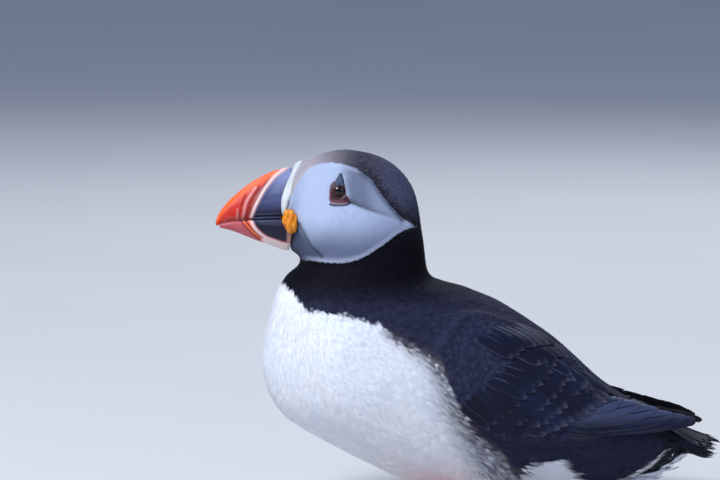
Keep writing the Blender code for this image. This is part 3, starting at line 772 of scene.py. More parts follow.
@dataclass
class Skin:
    """The flesh under the plumage, in one closed piece, and the fields that lead the coat."""

    voxel: float = 1.1
    gap_fill: float = 0.3
    root_depth: float = 0.35
    bare_depth: float = 0.15
    floor_gap: float = 1.2
    eye_clear: Point = (4.6, 8.5)
    fringe_width: float = 9.5
    cuff_place: Point = (2.5, 17.0)
    nodes: tuple[str, ...] = ("head", "neck", "trunk", "wing_left", "wing_right")
    piece: Object | None = None

    def build(self, finish: Material) -> None:
        """Makes the skin, its fields and its unwrap."""
        filled = ("bill_cere", "eye_left", "eye_right")
        self.piece = refined("skin", (*self.nodes, *filled), self.voxel, rounds=6, grow=self.gap_fill)
        mesh = self.piece.data
        self.refine_creases(mesh)
        self.store_fields(mesh)
        self.sink(mesh)
        self.store_lie(mesh)
        self.unwrap()
        adopt(self.piece, "white_feathers", *self.nodes, finish=finish)

    def refine_creases(self, mesh: Mesh) -> None:
        """Splits the faces beside each crease, so that it comes out sharp."""
        side_view = get_points(mesh)[:, [0, 2]] / MM
        near = np.min([distance_to(side_view, spline(crease.line))[0] for crease in CREASES], axis=0) < 2.2
        with editing(mesh) as bm:
            edges = [e for e in bm.edges if near[e.verts[0].index] and near[e.verts[1].index]]
            bmesh.ops.subdivide_edges(bm, edges=edges, cuts=2, use_grid_fill=True)
            bmesh.ops.triangulate(bm, faces=[f for f in bm.faces if len(f.verts) > 4])
        mesh.shade_smooth()

    def store_fields(self, mesh: Mesh) -> None:
        """Stores the markings and the creases' painted shade, and finds the feathers' sizes and the creases'
        depth.
        """
        points = get_points(mesh) / MM
        side_view = points[:, [0, 2]]
        x, z = side_view.T
        face = depth_inside(side_view, spline((*FACE_OUTLINE, FACE_OUTLINE[0])))
        white = -distance_to(side_view, spline(WHITE_EDGE))[1]
        wing = depth_inside(side_view, np.vstack([spline(WING_TOP), spline(WING_LOW)[::-1]]))
        far, _, share = distance_to(side_view, spline(FRINGE))
        fringe = bell(far, self.fringe_width * (0.25 + 0.75 * ramp(share, 0.0, 0.4)))
        hood = ramp(x, -58, -50) * ramp(z, 130, 134)
        front = 1 - ramp(x, -80, -76)
        cheek = -distance_to(side_view, spline(CREASES[1].line))[1]
        lore = ramp(cheek, -0.3, 1.5) * (z < 133) * (face > -1) * (x < -66)
        # The cheek is greyer over the furrow, and towards the hood.
        furrow = distance_to(side_view, spline((*CREASES[0].line, (-33.0, 132.0))))[1]
        over = 0.75 * ramp(furrow, -0.6, 1.6) * ramp(x, -64, -56) * (1 - 0.65 * ramp(x, -53, -43))
        # How dark each crease is painted, as shade in its fold, and how deep it is cut.
        dark = np.zeros(len(points))
        self.groove = np.zeros(len(points))
        for crease in CREASES:
            far, _, share = distance_to(side_view, spline(crease.line))
            depth, width, darkness = (a + (b - a) * share
                                      for a, b in (crease.depth, crease.width, crease.dark))
            dark = np.maximum(dark, bell(far, 0.7 * width) * darkness)
            self.groove += depth * bell(far, width)
        for name, values in (
            ("face_edge", np.clip(face, -20, 20)),
            ("white_edge", np.clip(white, -20, 20)),
            ("fringe", fringe * (z < 92) * ramp(white, -4.5, -0.5) * (wing < 1)),
            ("rim", 0.5 * bell(face - 0.8, 0.9) * (1 - hood) * (1 - front)),
            ("lore", np.maximum(lore, np.minimum(over, 0.75) * (face > -1))),
            ("crease", dark),
        ):
            set_field(mesh, name, values)
        self.store_zones(mesh, face, white, wing)
        # Looser feathers hang over the top of each shank.
        cuff_far = np.hypot(*(side_view - self.cuff_place).T)
        self.cuff = bell(cuff_far, 6.5) * ramp(np.abs(points[:, 1]), 12, 18)
        self.sizes[:, 0] *= (1 - 0.35 * bell(face, 1.8)) * (1 - 0.45 * bell(white, 3.0) * (z > 80))

    def store_zones(self, mesh: Mesh, face: Array, white: Array, wing: Array) -> None:
        """Stores where each part of the coat grows, and finds the feathers' sizes.

        Args:
            mesh: The skin's mesh.
            face: How deep each vertex lies in the face patch, in mm.
            white: How deep it lies in the white underparts.
            wing: How deep it lies in the folded arm wing.
        """
        side_view = get_points(mesh)[:, [0, 2]] / MM
        x, z = side_view.T
        # No feathers grow on the bare skin round the eye.
        offsets = side_view - np.mean([self.pupil(side) for side in SIDES], axis=0)[[0, 2]]
        lids = [depth_inside(offsets, spline((*part, part[0]))[:-1])
                for part in (Eye.ring, Eye.brow, Eye.bar)]
        lid = np.max(lids, axis=0) > -0.35
        vent = (face <= 0) & (z < 30) & (x > 12) & (white > -1.5)
        low = (face <= 0) & (z <= 130)
        rest = low & (white <= 0) & ~vent
        masks = {
            Zone.FACE: (face > 0) & ~lid,
            Zone.CROWN: (face <= 0) & (z > 130),
            Zone.VENT: vent,
            Zone.UNDER: low & (white > 0) & ~vent,
            Zone.NECK: rest & (z > 100) & (wing < 0),
            Zone.WING: rest & (wing >= 0),
            Zone.BACK: rest & (z <= 100) & (wing < 0),
        }
        sizes = np.zeros((len(side_view), 3))
        for zone, mask in masks.items():
            set_field(mesh, zone.mask, mask.astype(float))
            sizes[mask] = zone.value
        sizes[lid] = Zone.FACE.value
        self.sizes = spread(mesh, sizes, 5)

    def pupil(self, side: str) -> Array:
        """The middle of the eye on that side, in mm."""
        return np.mean([np.array(c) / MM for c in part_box(f"eye_{side}")], axis=0)

    def sink(self, mesh: Mesh) -> None:
        """Lowers the surface by the depth of the plumage, and cuts the creases into it."""
        points = get_points(mesh) / MM
        bill_far, _, _ = distance_to(points[:, [0, 2]], spline(BILL_BASE))
        eye_far = np.min([np.linalg.norm((points - self.pupil(side))[:, [0, 2]], axis=1) for side in SIDES],
                         axis=0)
        bare = np.minimum(ramp(bill_far, 0.5, 7.0), ramp(eye_far, *self.eye_clear))
        self.sizes *= (0.4 + 0.6 * bare)[:, None]
        plumage = self.sizes[:, 2] + self.root_depth - self.bare_depth
        depth = self.gap_fill + self.bare_depth + plumage * bare
        depth += self.groove * (points[:, 2] > 112) + 0.7 * bell(eye_far, 4.5)
        depth += 1.1 * bell(eye_far, 2.4)
        depth -= 0.9 * self.cuff
        points -= get_normals(mesh) * depth[:, None]
        points[:, 2] = np.maximum(points[:, 2], self.floor_gap)
        set_points(mesh, points * MM)
        self.sizes[:, 2] += 1.6 * self.cuff
        for name, values in zip(("quill", "breadth", "lift"), self.sizes.T * MM):
            set_field(mesh, name, values)

    def store_lie(self, mesh: Mesh) -> None:
        """Stores the way the feathers lie, along the surface."""
        flat = lie_ways(get_points(mesh)[:, [0, 2]] / MM)
        way = np.stack([flat[:, 0], np.zeros(len(flat)), flat[:, 1]], axis=1)
        normals = get_normals(mesh)
        way -= normals * (way * normals).sum(1)[:, None]
        way /= np.maximum(np.linalg.norm(way, axis=1), 1e-6)[:, None]
        set_field(mesh, "lie", way)

    def unwrap(self) -> None:
        """Lays the skin out flat, in islands, on its own UV map."""
        self.piece.data.uv_layers.new(name="OFBake")
        bpy.context.view_layer.objects.active = self.piece
        self.piece.select_set(True)
        bpy.ops.object.mode_set(mode="EDIT")
        bpy.ops.mesh.select_all(action="SELECT")
        bpy.ops.uv.smart_project(angle_limit=math.radians(66), island_margin=0.004)
        bpy.ops.object.mode_set(mode="OBJECT")
        self.piece.select_set(False)


# ---------------------------------------------------------------- the coat


@dataclass(frozen=True)
class FeatherShape:
    """One small feather as a flat leaf whose end is split into fingers.

    It lies along +Y from 0 to 1 and is 1 across. Its fields along and across say where a point is.
    """

    name: str
    fingers: int
    shoulder: float
    fray: float
    roundness: float

    def make(self) -> Object:
        """Builds the feather as a hidden object."""
        points = [(0.0, 0.0)]
        for i in range(self.fingers + 1):
            side = 2 * i / self.fingers - 1
            points.append((side / 2, self.shoulder - 0.25 * self.roundness * side * side))
        for i in range(self.fingers):
            side = (2 * i + 1) / self.fingers - 1
            short = self.fray if i % 2 else 0.0
            points.append((side * 0.42, 1.0 - short - self.roundness * side * side * 0.4))
        faces = []
        for left in range(1, self.fingers + 1):
            faces += [(0, left + 1, left), (left, left + 1, left + 1 + self.fingers)]
        mesh = mesh_from(self.name, [(x, y, 0.0) for x, y in points], faces)
        across, along = np.array(points).T
        set_field(mesh, "along", along)
        set_field(mesh, "across", across * 2)
        made = new_object(self.name, mesh)
        made.hide_render = True
        return made


SOFT_SHAPE = FeatherShape("soft_feather", fingers=6, shoulder=0.5, fray=0.16, roundness=0.35)
PLUSH_SHAPE = FeatherShape("plush_feather", fingers=3, shoulder=0.5, fray=0.12, roundness=0.3)
SCALE_SHAPE = FeatherShape("scale_feather", fingers=7, shoulder=0.72, fray=0.04, roundness=0.75)


@dataclass(frozen=True)
class CoatPatch:
    """One piece of the coat: where it grows, how dense, and from which feather."""

    name: str
    zone: Zone
    shape: FeatherShape
    spacing: float
    seed: int
    softness: float
    side: int = 0
    slot: str = "black_feathers"


@dataclass
class Coat:
    """All the small feathers, grown on the skin by one tree of geometry nodes."""

    skin: Skin
    patch_uv: float = 0.003
    root_lift: float = 0.1
    patches: tuple[CoatPatch, ...] = (
        CoatPatch("face_coat", Zone.FACE, PLUSH_SHAPE, 0.40, 11, 0.97, slot="face_feathers"),
        CoatPatch("crown_coat", Zone.CROWN, PLUSH_SHAPE, 0.44, 12, 0.6),
        CoatPatch("neck_coat", Zone.NECK, SOFT_SHAPE, 0.52, 13, 0.86),
        CoatPatch("back_coat", Zone.BACK, SOFT_SHAPE, 0.85, 14, 0.7),
        CoatPatch("wing_coat", Zone.WING, SCALE_SHAPE, 1.2, 15, 0.6),
        CoatPatch("under_coat_left", Zone.UNDER, SOFT_SHAPE, 0.68, 16, 0.96, -1, "white_feathers"),
        CoatPatch("under_coat_right", Zone.UNDER, SOFT_SHAPE, 0.68, 17, 0.96, 1, "white_feathers"),
        CoatPatch("vent_coat", Zone.VENT, SOFT_SHAPE, 0.70, 18, 0.8, slot="white_feathers"),
    )

    def make_tree(self) -> Tree:
        """Builds the tree that scatters feathers, lays them along the skin and makes them real."""
        tree = bpy.data.node_groups.new("grow_feathers", "GeometryNodeTree")
        for name, kind in (("Geometry", "Geometry"), ("Skin", "Object"), ("Feather", "Object"),
                           ("Grows", "String"), ("Spacing", "Float"), ("Side", "Float"), ("Seed", "Int"),
                           ("Softness", "Float"), ("Finish", "Material")):
            tree.interface.new_socket(name, in_out="INPUT", socket_type=f"NodeSocket{kind}")
        tree.interface.new_socket("Geometry", in_out="OUTPUT", socket_type="NodeSocketGeometry")
        node = partial(add_node, tree)
        start = node("GroupInput").node.outputs
        skin, feather = (node("ObjectInfo", {"Object": start[name]}, "Geometry")
                         for name in ("Skin", "Feather"))
        grows, quill, breadth, along, across, lift, fate = (
            node("InputNamedAttribute", {"Name": name}, "Attribute")
            for name in (start["Grows"], "quill", "breadth", "along", "across", "lift", "luck"))
        skin_uv, root_uv, lie = (
            node("InputNamedAttribute", {"Name": name}, "Attribute", data_type="FLOAT_VECTOR")
            for name in ("OFBake", "root_uv", "lie"))
        facing = node("InputNormal")

        # Roots: evenly scattered where the field says that this patch grows, on one side or both.
        grows = node("Compare", {"A": grows, "B": 0.5}, operation="GREATER_THAN")
        sided = node("SeparateXYZ", (node("InputPosition"),), "Y")
        sided = node("Math", (sided, start["Side"]), operation="MULTIPLY")
        sided = node("Compare", {"A": sided, "B": 0.0}, operation="GREATER_EQUAL")
        chosen = node("BooleanMath", (grows, sided), operation="AND")
        area = node("Math", (start["Spacing"], start["Spacing"]), operation="MULTIPLY")
        density = node("Math", (3.0, area), operation="DIVIDE")
        roots = node("DistributePointsOnFaces", {"Mesh": start["Geometry"], "Selection": chosen,
                                                 "Distance Min": start["Spacing"], "Density Max": density,
                                                 "Seed": start["Seed"]}, distribute_method="POISSON")
        normal = roots.node.outputs["Normal"]
        luck = node("RandomValue", {"Seed": start["Seed"]}, "Value_001")
        for name, value, kind in (("root_uv", skin_uv, "FLOAT_VECTOR"), ("luck", luck, "FLOAT")):
            roots = node("StoreNamedAttribute", {"Geometry": roots, "Name": name, "Value": value},
                         data_type=kind, domain="POINT")

        # Each feather lies along the surface, a little turned, and of its own size.
        turn = node("AlignRotationToVector", {"Vector": normal}, axis="Z")
        turn = node("AlignRotationToVector", {"Rotation": turn, "Vector": lie}, axis="Y", pivot_axis="Z")
        wobble, size = (
            node("RandomValue", {"Min_001": low, "Max_001": high, "Seed": seed}, "Value_001")
            for low, high, seed in ((-0.22, 0.22, 5), (0.75, 1.2, 7)))
        wobble = node("AxisAngleToRotation", {"Axis": (0, 0, 1), "Angle": wobble})
        turn = node("RotateRotation", {"Rotation": turn, "Rotate By": wobble}, rotation_space="LOCAL")
        length = node("Math", (quill, size), operation="MULTIPLY")
        scale = node("CombineXYZ", (breadth, length, 1.0))
        grown = node("InstanceOnPoints", {"Points": roots, "Instance": feather, "Rotation": turn,
                                          "Scale": scale})
        grown = node("RealizeInstances", (grown,))

        # Every point then settles on the skin, higher towards the feather's tip and less at its sides.
        near = node("Proximity", {"Geometry": skin}, "Position", target_element="FACES")
        up = node("SampleNearestSurface", {"Mesh": skin, "Value": facing}, "Value",
                  data_type="FLOAT_VECTOR")
        share = node("Math", (fate, 0.4, 0.6), operation="MULTIPLY_ADD")
        sag = node("Math", (across, across), operation="MULTIPLY")
        sag = node("Math", (sag, -0.3, 1.0), operation="MULTIPLY_ADD")
        height = along
        for operation, *values in (("MULTIPLY", share), ("MULTIPLY", sag),
                                   ("MULTIPLY_ADD", lift, self.root_lift * MM)):
            height = node("Math", (height, *values), operation=operation)
        offset = node("VectorMath", {"Vector": up, "Scale": height}, operation="SCALE")
        grown = node("SetPosition", {"Geometry": grown, "Position": near, "Offset": offset})

        # The crisp markings are read again at each point, the ragged ones stay with the root.
        for name in ("face_edge", "crease", "lore", "rim"):
            value = node("InputNamedAttribute", {"Name": name}, "Attribute")
            value = node("SampleNearestSurface", {"Mesh": skin, "Value": value}, "Value")
            grown = node("StoreNamedAttribute", {"Geometry": grown, "Name": name, "Value": value},
                         data_type="FLOAT", domain="POINT")

        # The bake map: a small patch for each feather, at its root's place on the skin's unwrap.
        u = node("Math", (across, self.patch_uv / 2), operation="MULTIPLY")
        v = node("Math", (along, self.patch_uv, -self.patch_uv / 2), operation="MULTIPLY_ADD")
        patch = node("CombineXYZ", (u, v, 0.0))
        uv = node("VectorMath", (root_uv, patch), operation="ADD")
        grown = node("StoreNamedAttribute", {"Geometry": grown, "Name": "OFBake", "Value": uv},
                     data_type="FLOAT2", domain="CORNER")

        # Soft shading: the feathers share most of the skin's own normal.
        hardness = node("Math", (1.0, start["Softness"]), operation="SUBTRACT")
        own, soft = (node("VectorMath", {"Vector": way, "Scale": weight}, operation="SCALE")
                     for way, weight in ((facing, hardness), (up, start["Softness"])))
        soft = node("VectorMath", (own, soft), operation="ADD")
        soft = node("VectorMath", (soft,), operation="NORMALIZE")
        grown = node("SetMeshNormal", {"Mesh": grown, "Custom Normal": soft}, mode="FREE", domain="POINT")
        for name in ("root_uv", "lie", "quill", "breadth", "lift", "grows_*"):
            mode = "WILDCARD" if "*" in name else "EXACT"
            grown = node("RemoveAttribute", {"Geometry": grown, "Name": name}, pattern_mode=mode)
        grown = node("SetMaterial", {"Geometry": grown, "Material": start["Finish"]})
        node("GroupOutput", (grown,))
        return tree

    def build(self, finish: Material) -> None:
        """Grows every patch of the coat."""
        tree = self.make_tree()
        keys = {item.name: item.identifier for item in tree.interface.items_tree if item.in_out == "INPUT"}
        shapes = {patch.shape: patch.shape.make() for patch in self.patches}
        for patch in self.patches:
            bed = new_object(f"{patch.name}_bed", self.skin.piece.data)
            modifier = bed.modifiers.new("grow", "NODES")
            modifier.node_group = tree
            for name, value in (("Skin", self.skin.piece), ("Feather", shapes[patch.shape]),
                                ("Grows", patch.zone.mask), ("Spacing", patch.spacing * MM),
                                ("Side", float(patch.side)), ("Seed", patch.seed),
                                ("Softness", patch.softness), ("Finish", finish)):
                modifier[keys[name]] = value
            mesh = evaluated_mesh(bed)
            mesh.name = patch.name
            bpy.data.objects.remove(bed, do_unlink=True)
            adopt(new_object(patch.name, mesh), patch.slot)
        for shape in shapes.values():
            remove(shape)


# ---------------------------------------------------------------- eyes


@dataclass
class Eye:
    """One eye: the ball, the red ring of lid skin round it and the two horny plates.

    Outlines are offsets from the pupil in the side view, backwards and upwards, in mm.
    """

    side: str
    skin: Skin
    opening: float = 2.3
    ball_radius: float = 3.5
    ring: tuple[Point, ...] = (
        (2.8, 1.0), (2.3, 3.3), (0.6, 4.4), (-2.0, 4.5), (-3.6, 3.1), (-4.3, 0.9), (-4.55, -1.8),
        (-4.5, -4.4), (-1.6, -4.8), (1.5, -4.7), (4.4, -4.2), (4.7, -3.4), (3.0, -1.4),
    )
    brow: tuple[Point, ...] = ((-2.5, 2.4), (-1.6, 4.4), (-0.4, 6.4), (1.1, 8.2), (2.0, 6.4), (2.4, 4.2),
                               (2.3, 1.8), (0.0, 2.6))
    bar: tuple[Point, ...] = ((-4.7, -5.0), (-4.5, -6.1), (-0.7, -6.4), (4.1, -5.9), (5.0, -4.9),
                              (3.4, -4.6), (0.0, -4.9))
    ring_steps: int = 72

    def build(self, ball: Material, lid: Material, brow: Material, bar: Material) -> None:
        """Makes the pieces of this eye."""
        low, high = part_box(f"eye_{self.side}")
        self.sign = SIDES[self.side]
        # The ball touches the front of its node, and is smaller, so that the lids close round it.
        inward = (high.z - low.z) / 2 / MM - self.ball_radius
        self.middle = np.array((low + high) / 2) / MM + np.array([0.0, self.sign * inward, 0.0])
        self.face = BVHTree.FromObject(self.skin.piece, bpy.context.evaluated_depsgraph_get())
        self.out = np.array(sum((self.on_face(x, z)[1] for x, z in self.ring), Vector()).normalized())
        self.make_ball(ball)
        self.make_ring(lid)
        self.make_plate("brow_plate", self.brow, brow)
        self.make_plate("cheek_plate", self.bar, bar)

    def on_face(self, back: float, up: float) -> tuple[Array, Vector]:
        """The place on the face at an offset from the pupil, and the normal there."""
        start = Vector((self.middle[0] + back, self.sign * 60.0, self.middle[2] + up)) * MM
        spot, normal, _, _ = self.face.ray_cast(start, Vector((0, -self.sign, 0)))
        return np.array(spot) / MM, normal

    def on_lid(self, back: float, up: float) -> Array:
        """The place on the ball or the face, whichever is further out, blended where they meet."""
        face = self.on_face(back, up)[0]
        reach = math.hypot(back, up)
        ball = self.middle[1] * self.sign + math.sqrt(max(self.ball_radius**2 - reach**2, 0.0))
        ball -= 4 * max(reach - self.ball_radius, 0.0)
        gap = 0.35
        level = gap * np.logaddexp(face[1] * self.sign / gap, ball / gap)
        return np.array([face[0], self.sign * level, face[2]])

    def make_ball(self, finish: Material) -> None:
        """The eyeball, with each point's distance from the pupil stored for its colours."""
        made = new_object(f"eyeball_{self.side}", bpy.data.meshes.new(f"eyeball_{self.side}"))
        turn = Vector((0, 0, 1)).rotation_difference(Vector((0, self.sign, 0))).to_matrix().to_4x4()
        with editing(made.data) as bm:
            bmesh.ops.create_uvsphere(bm, u_segments=40, v_segments=28, radius=self.ball_radius * MM)
            bm.transform(Matrix.Translation(Vector(self.middle) * MM) @ turn)
        made.data.shade_smooth()
        offsets = (get_points(made.data) / MM - self.middle)[:, [0, 2]]
        set_field(made.data, "gaze", np.linalg.norm(offsets, axis=1))
        adopt(made, "eye", f"eye_{self.side}", finish=finish)

    def make_ring(self, finish: Material) -> None:
        """The ring of bare lid skin, from the ball out to the face, with fine folds across it."""
        # Each band: its share of the way across, its height in mm, its folds and its paleness.
        bands = ((-0.1, -1.2, 0.0, 0.0), (0.0, -0.1, 0.2, 0.1), (0.12, 0.15, 1.0, 0.0),
                 (0.35, 0.3, 1.0, 0.0), (0.62, 0.42, 0.8, 0.0), (0.84, 0.46, 0.4, 0.3),
                 (0.95, 0.36, 0.2, 0.8), (1.02, -0.1, 0.0, 0.9), (1.06, -1.0, 0.0, 0.5))
        outline = spline((*self.ring, self.ring[0]))[:-1]
        angles = np.arctan2(outline[:, 1], outline[:, 0])
        points, pale = [], []
        for i in range(self.ring_steps):
            turn = 2 * math.pi * i / self.ring_steps
            way = np.array([math.cos(turn), math.sin(turn)])
            reach = np.interp(turn, angles, np.linalg.norm(outline, axis=1), period=2 * math.pi)
            for share, height, folds, paleness in bands:
                place = self.on_lid(*(way * (self.opening + (reach - self.opening) * share)))
                height += folds * 0.05 * math.sin(turn * 24)
                points.append((place + self.out * height) * MM)
                pale.append(paleness * (0.25 + 0.75 * float(ramp(-way[1], -0.2, 0.4))))
        grid = np.arange(len(points)).reshape(-1, len(bands))
        made = self.show(f"orbital_ring_{self.side}", points, quads(np.vstack([grid, grid[:1]])), pale)
        adopt(made, "rosette_skin", finish=finish)

    def make_plate(self, part: str, outline: Sequence[Point], finish: Material) -> None:
        """A thin horny plate on the face, rounded down to its edge."""
        edge = spline((*outline, outline[0]), 5)[:-1]
        middle = edge.mean(axis=0)
        points, dark = [], []
        # Each ring: its size, its height in mm and its darkness.
        for size, lift, darkness in ((1.05, -0.7, 1.0), (1.0, 0.1, 1.0), (0.93, 0.42, 0.8), (0.8, 0.6, 0.25),
                                     (0.5, 0.66, 0.0), (0.15, 0.68, 0.0)):
            for x, z in middle + (edge - middle) * size:
                points.append((self.on_lid(x, z) + self.out * lift) * MM)
                dark.append(darkness)
        grid = np.arange(len(points)).reshape(-1, len(edge)).T
        faces = [tuple(grid[::-1, -1].tolist()), *quads(np.vstack([grid, grid[:1]]))]
        made = self.show(f"{part}_{self.side}_horn", points, faces, dark)
        adopt(made, "eye_plate_horn", f"{part}_{self.side}", finish=finish)

    def show(self, name: str, points: Sequence, faces: Sequence, rim: Sequence[float]) -> Object:
        """An object of those points and faces that faces out of the head, with its rim field."""
        made = new_object(name, mesh_from(name, points, faces))
        with editing(made.data) as bm:
            bmesh.ops.recalc_face_normals(bm, faces=bm.faces)
            if sum((f.normal * f.calc_area() for f in bm.faces), Vector()).dot(Vector(self.out)) < 0:
                bmesh.ops.reverse_faces(bm, faces=bm.faces)
        set_field(made.data, "rim", np.array(rim))
        round_off(made)
        return made


# ---------------------------------------------------------------- bill


@dataclass(frozen=True)
class Band:
    """A line along the bill, as X and Z in mm, with its width in mm and its strength."""

    line: tuple[Point, ...]
    width: float
    strength: float = 1.0


@dataclass(frozen=True)
class HalfBill:
    """One half of the bill: the front edge of its plate, and its cream, dark and orange lines."""

    name: str
    node: str
    plate: tuple[Point, ...]
    cream: tuple[Band, ...]
    dark: tuple[Band, ...]
    orange: tuple[Band, ...] = ()
    is_lower: bool = False


UPPER_BILL = HalfBill(
    "upper_bill_horn", "bill_upper",
    ((-79.0, 159.5), (-85.2, 155.6), (-90.4, 152.0), (-94.9, 147.0), (-97.9, 142.3), (-99.8, 138.6),
     (-101.2, 134.8), (-101.4, 131.0)),
    (Band(((-80.0, 160.2), (-85.6, 156.0), (-90.8, 152.2), (-95.4, 147.0), (-98.5, 142.0), (-100.4, 138.3),
           (-101.8, 134.0)), 0.75),
     Band(((-99.6, 147.2), (-101.6, 144.5), (-103.6, 141.4), (-104.7, 138.8), (-105.7, 133.4)), 0.5, 0.45),
     Band(((-108.1, 137.4), (-108.2, 133.2)), 0.5, 0.25)),
    (Band(((-89.6, 154.4), (-93.2, 151.2), (-98.0, 144.2), (-101.6, 137.4), (-102.4, 134.4)), 0.5, 0.85),
     Band(((-97.6, 147.0), (-102.1, 140.4), (-103.9, 134.0)), 0.95, 0.72),
     Band(((-104.2, 144.0), (-106.1, 139.5), (-106.9, 136.5), (-107.0, 133.8)), 0.35, 0.65)),
)
LOWER_BILL = HalfBill(
    "lower_bill_horn", "bill_lower",
    ((-101.6, 136.0), (-101.3, 132.7), (-99.6, 129.0), (-95.6, 125.4), (-91.6, 123.7), (-86.0, 122.2),
     (-78.0, 121.8)),
    (Band(((-102.0, 136.0), (-101.8, 132.5), (-100.1, 128.5), (-96.0, 124.8), (-91.8, 123.0), (-86.0, 121.0),
           (-80.0, 120.0)), 0.7),),
    (Band(((-104.6, 134.5), (-104.1, 132.1), (-101.3, 128.2), (-96.5, 124.0)), 0.35, 0.9),
     Band(((-106.6, 134.5), (-106.2, 132.1), (-103.2, 127.9), (-98.0, 123.4)), 0.4, 0.7)),
    (Band(((-105.4, 134.5), (-105.1, 132.1), (-102.2, 128.0), (-97.2, 123.7)), 0.5),
     Band(((-103.3, 134.5), (-103.0, 132.3), (-100.8, 128.3), (-96.3, 124.3)), 0.6)),
    True,
)


@dataclass
class Bill:
    """The bill: two grooved halves, the pale ridge at their base and the wrinkled rosettes."""

    voxel: float = 0.26
    groove_depth: float = 0.34
    cream_height: float = 0.22
    plate_hollow: float = 0.28
    ridge_front: tuple[Point, ...] = ((-87.7, 134.0), (-88.3, 137.2), (-88.4, 141.4), (-87.5, 144.9),
                                      (-85.5, 149.7), (-83.5, 153.6), (-80.6, 158.4))
    ridge_back: tuple[Point, ...] = ((-86.3, 134.0), (-86.1, 139.2), (-85.9, 141.5), (-85.1, 145.5),
                                     (-83.5, 150.0), (-81.3, 154.3), (-78.4, 158.8))
    ridge_axis: float = 137.0
    ridge_steps: int = 90
    ridge_from: float = -14.0
    ridge_sweep: float = 208.0
    ridge_reach: float = 60.0
    ridge_seed: int = 23

    def build(self, horn: Material, ridge: Material, rosette: Material) -> None:
        """Makes the pieces of the bill."""
        for half in (UPPER_BILL, LOWER_BILL):
            self.make_half(half, horn)
        self.make_ridge(ridge)
        for side in SIDES:
            node = f"rosette_{side}"
            patch = refined(f"gape_rosette_{side}", [node], voxel=0.18, rounds=4, grow=0.1)
            self.wrinkle(patch.data)
            adopt(patch, "rosette_skin", node, finish=rosette)

    def make_half(self, half: HalfBill, finish: Material) -> None:
        """One half of the bill, with its plate, raised lines and grooves."""
        made = refined(half.name, [half.node], voxel=self.voxel, rounds=9, grow=0.15)
        mesh = made.data
        points = get_points(mesh) / MM
        side_view = points[:, [0, 2]]
        x, z = side_view.T
        front = -distance_to(side_view, spline(half.plate))[1]
        fields = {"plate": ramp(-front, 0.0, 0.6), "lower_bill": np.full(len(points), float(half.is_lower))}
        for name, bands in (("cream_line", half.cream), ("dark_line", half.dark), ("culmen", half.orange)):
            lines = [band.strength * bell(distance_to(side_view, spline(band.line))[0], band.width)
                     for band in bands]
            fields[name] = np.max([np.zeros(len(points)), *lines], axis=0)
        # How far each point is under the half's upper edge and over its lower edge.
        cells = np.floor(x - x.min()).astype(int)
        tops, floors = np.full(cells.max() + 1, -1e3), np.full(cells.max() + 1, 1e3)
        np.maximum.at(tops, cells, z)
        np.minimum.at(floors, cells, z)
        centres = np.arange(len(tops)) + 0.5 + x.min()
        under, over = np.interp(x, centres, tops) - z, z - np.interp(x, centres, floors)
        if half.is_lower:
            fields["cream_line"] = np.maximum(fields["cream_line"],
                                              ramp(front, 0.0, 0.7) * ramp(x, -98, -95.5))
            fields["brown"] = 0.85 * ramp(x, -86.4, -85.2) * ramp(z, 119.5, 123.0) * (z < 133)
            fields["lip"] = 0.35 * bell(under - 0.4, 0.35) * fields["plate"]
        else:
            fields["culmen"] = 1 - ramp(under, 0.6, 5.0)
            fields["dark_line"] *= ramp(under, 1.0, 4.5)
            fields["brown"] = np.zeros(len(points))
            fields["lip"] = fields["plate"] * (0.8 * bell(over - 0.5, 0.3) + 0.25 * bell(over - 2.4, 0.3))
            fields["dark_line"] = np.maximum(fields["dark_line"], 0.3 * bell(over, 0.9) * (x > -107))
        for name, values in fields.items():
            set_field(mesh, name, values)
        sideways = ramp(np.abs(get_normals(mesh)[:, 1]), 0.2, 0.6)
        depth = self.groove_depth * fields["dark_line"] + self.plate_hollow * ramp(-front, 0.0, 2.5)
        depth -= self.cream_height * fields["cream_line"]
        points -= get_normals(mesh) * (depth * sideways)[:, None]
        set_points(mesh, points * MM)
        adopt(made, "bill_horn", half.node, finish=finish)

    def make_ridge(self, finish: Material) -> None:
        """The pale ridge round the base of the upper bill, from one corner of the mouth to the other."""
        tree = surface_of(["bill_cere", "head", "bill_upper"], voxel=0.5, rounds=4, grow=0.1)
        # Each line of points: its share of the way from the front edge to the back, and its height in mm.
        profile = ((-0.15, -0.9), (0.0, -0.15), (0.14, 0.28), (0.38, 0.42), (0.64, 0.4), (0.88, 0.2),
                   (1.0, -0.15), (1.15, -0.9))
        front, back = spline(self.ridge_front), spline(self.ridge_back)
        rng = np.random.default_rng(self.ridge_seed)
        points = []
        for i in range(self.ridge_steps):
            turn = math.radians(self.ridge_from + self.ridge_sweep * i / (self.ridge_steps - 1))
            way = Vector((0, -math.cos(turn), math.sin(turn)))
            for share, height in profile:
                x = -86.0
                for _ in range(4):
                    middle = Vector((x, 0, self.ridge_axis)) * MM
                    spot, normal, _, _ = tree.ray_cast(middle + way * (self.ridge_reach * MM), -way)
                    ends = [np.interp(spot.z / MM, curve[:, 1], curve[:, 0]) for curve in (front, back)]
                    x = ends[0] + (ends[1] - ends[0]) * share
                height += rng.uniform(-0.008, 0.008)
                points.append(spot + normal * height * MM)
        mesh = mesh_from("bill_ridge", points, quads(np.arange(len(points)).reshape(-1, len(profile)).T))
        if get_normals(mesh)[len(points) // 2][2] < 0:
            mesh.flip_normals()
        made = new_object("bill_ridge", mesh)
        round_off(made)
        adopt(made, "cere_skin", "bill_cere", finish=finish)

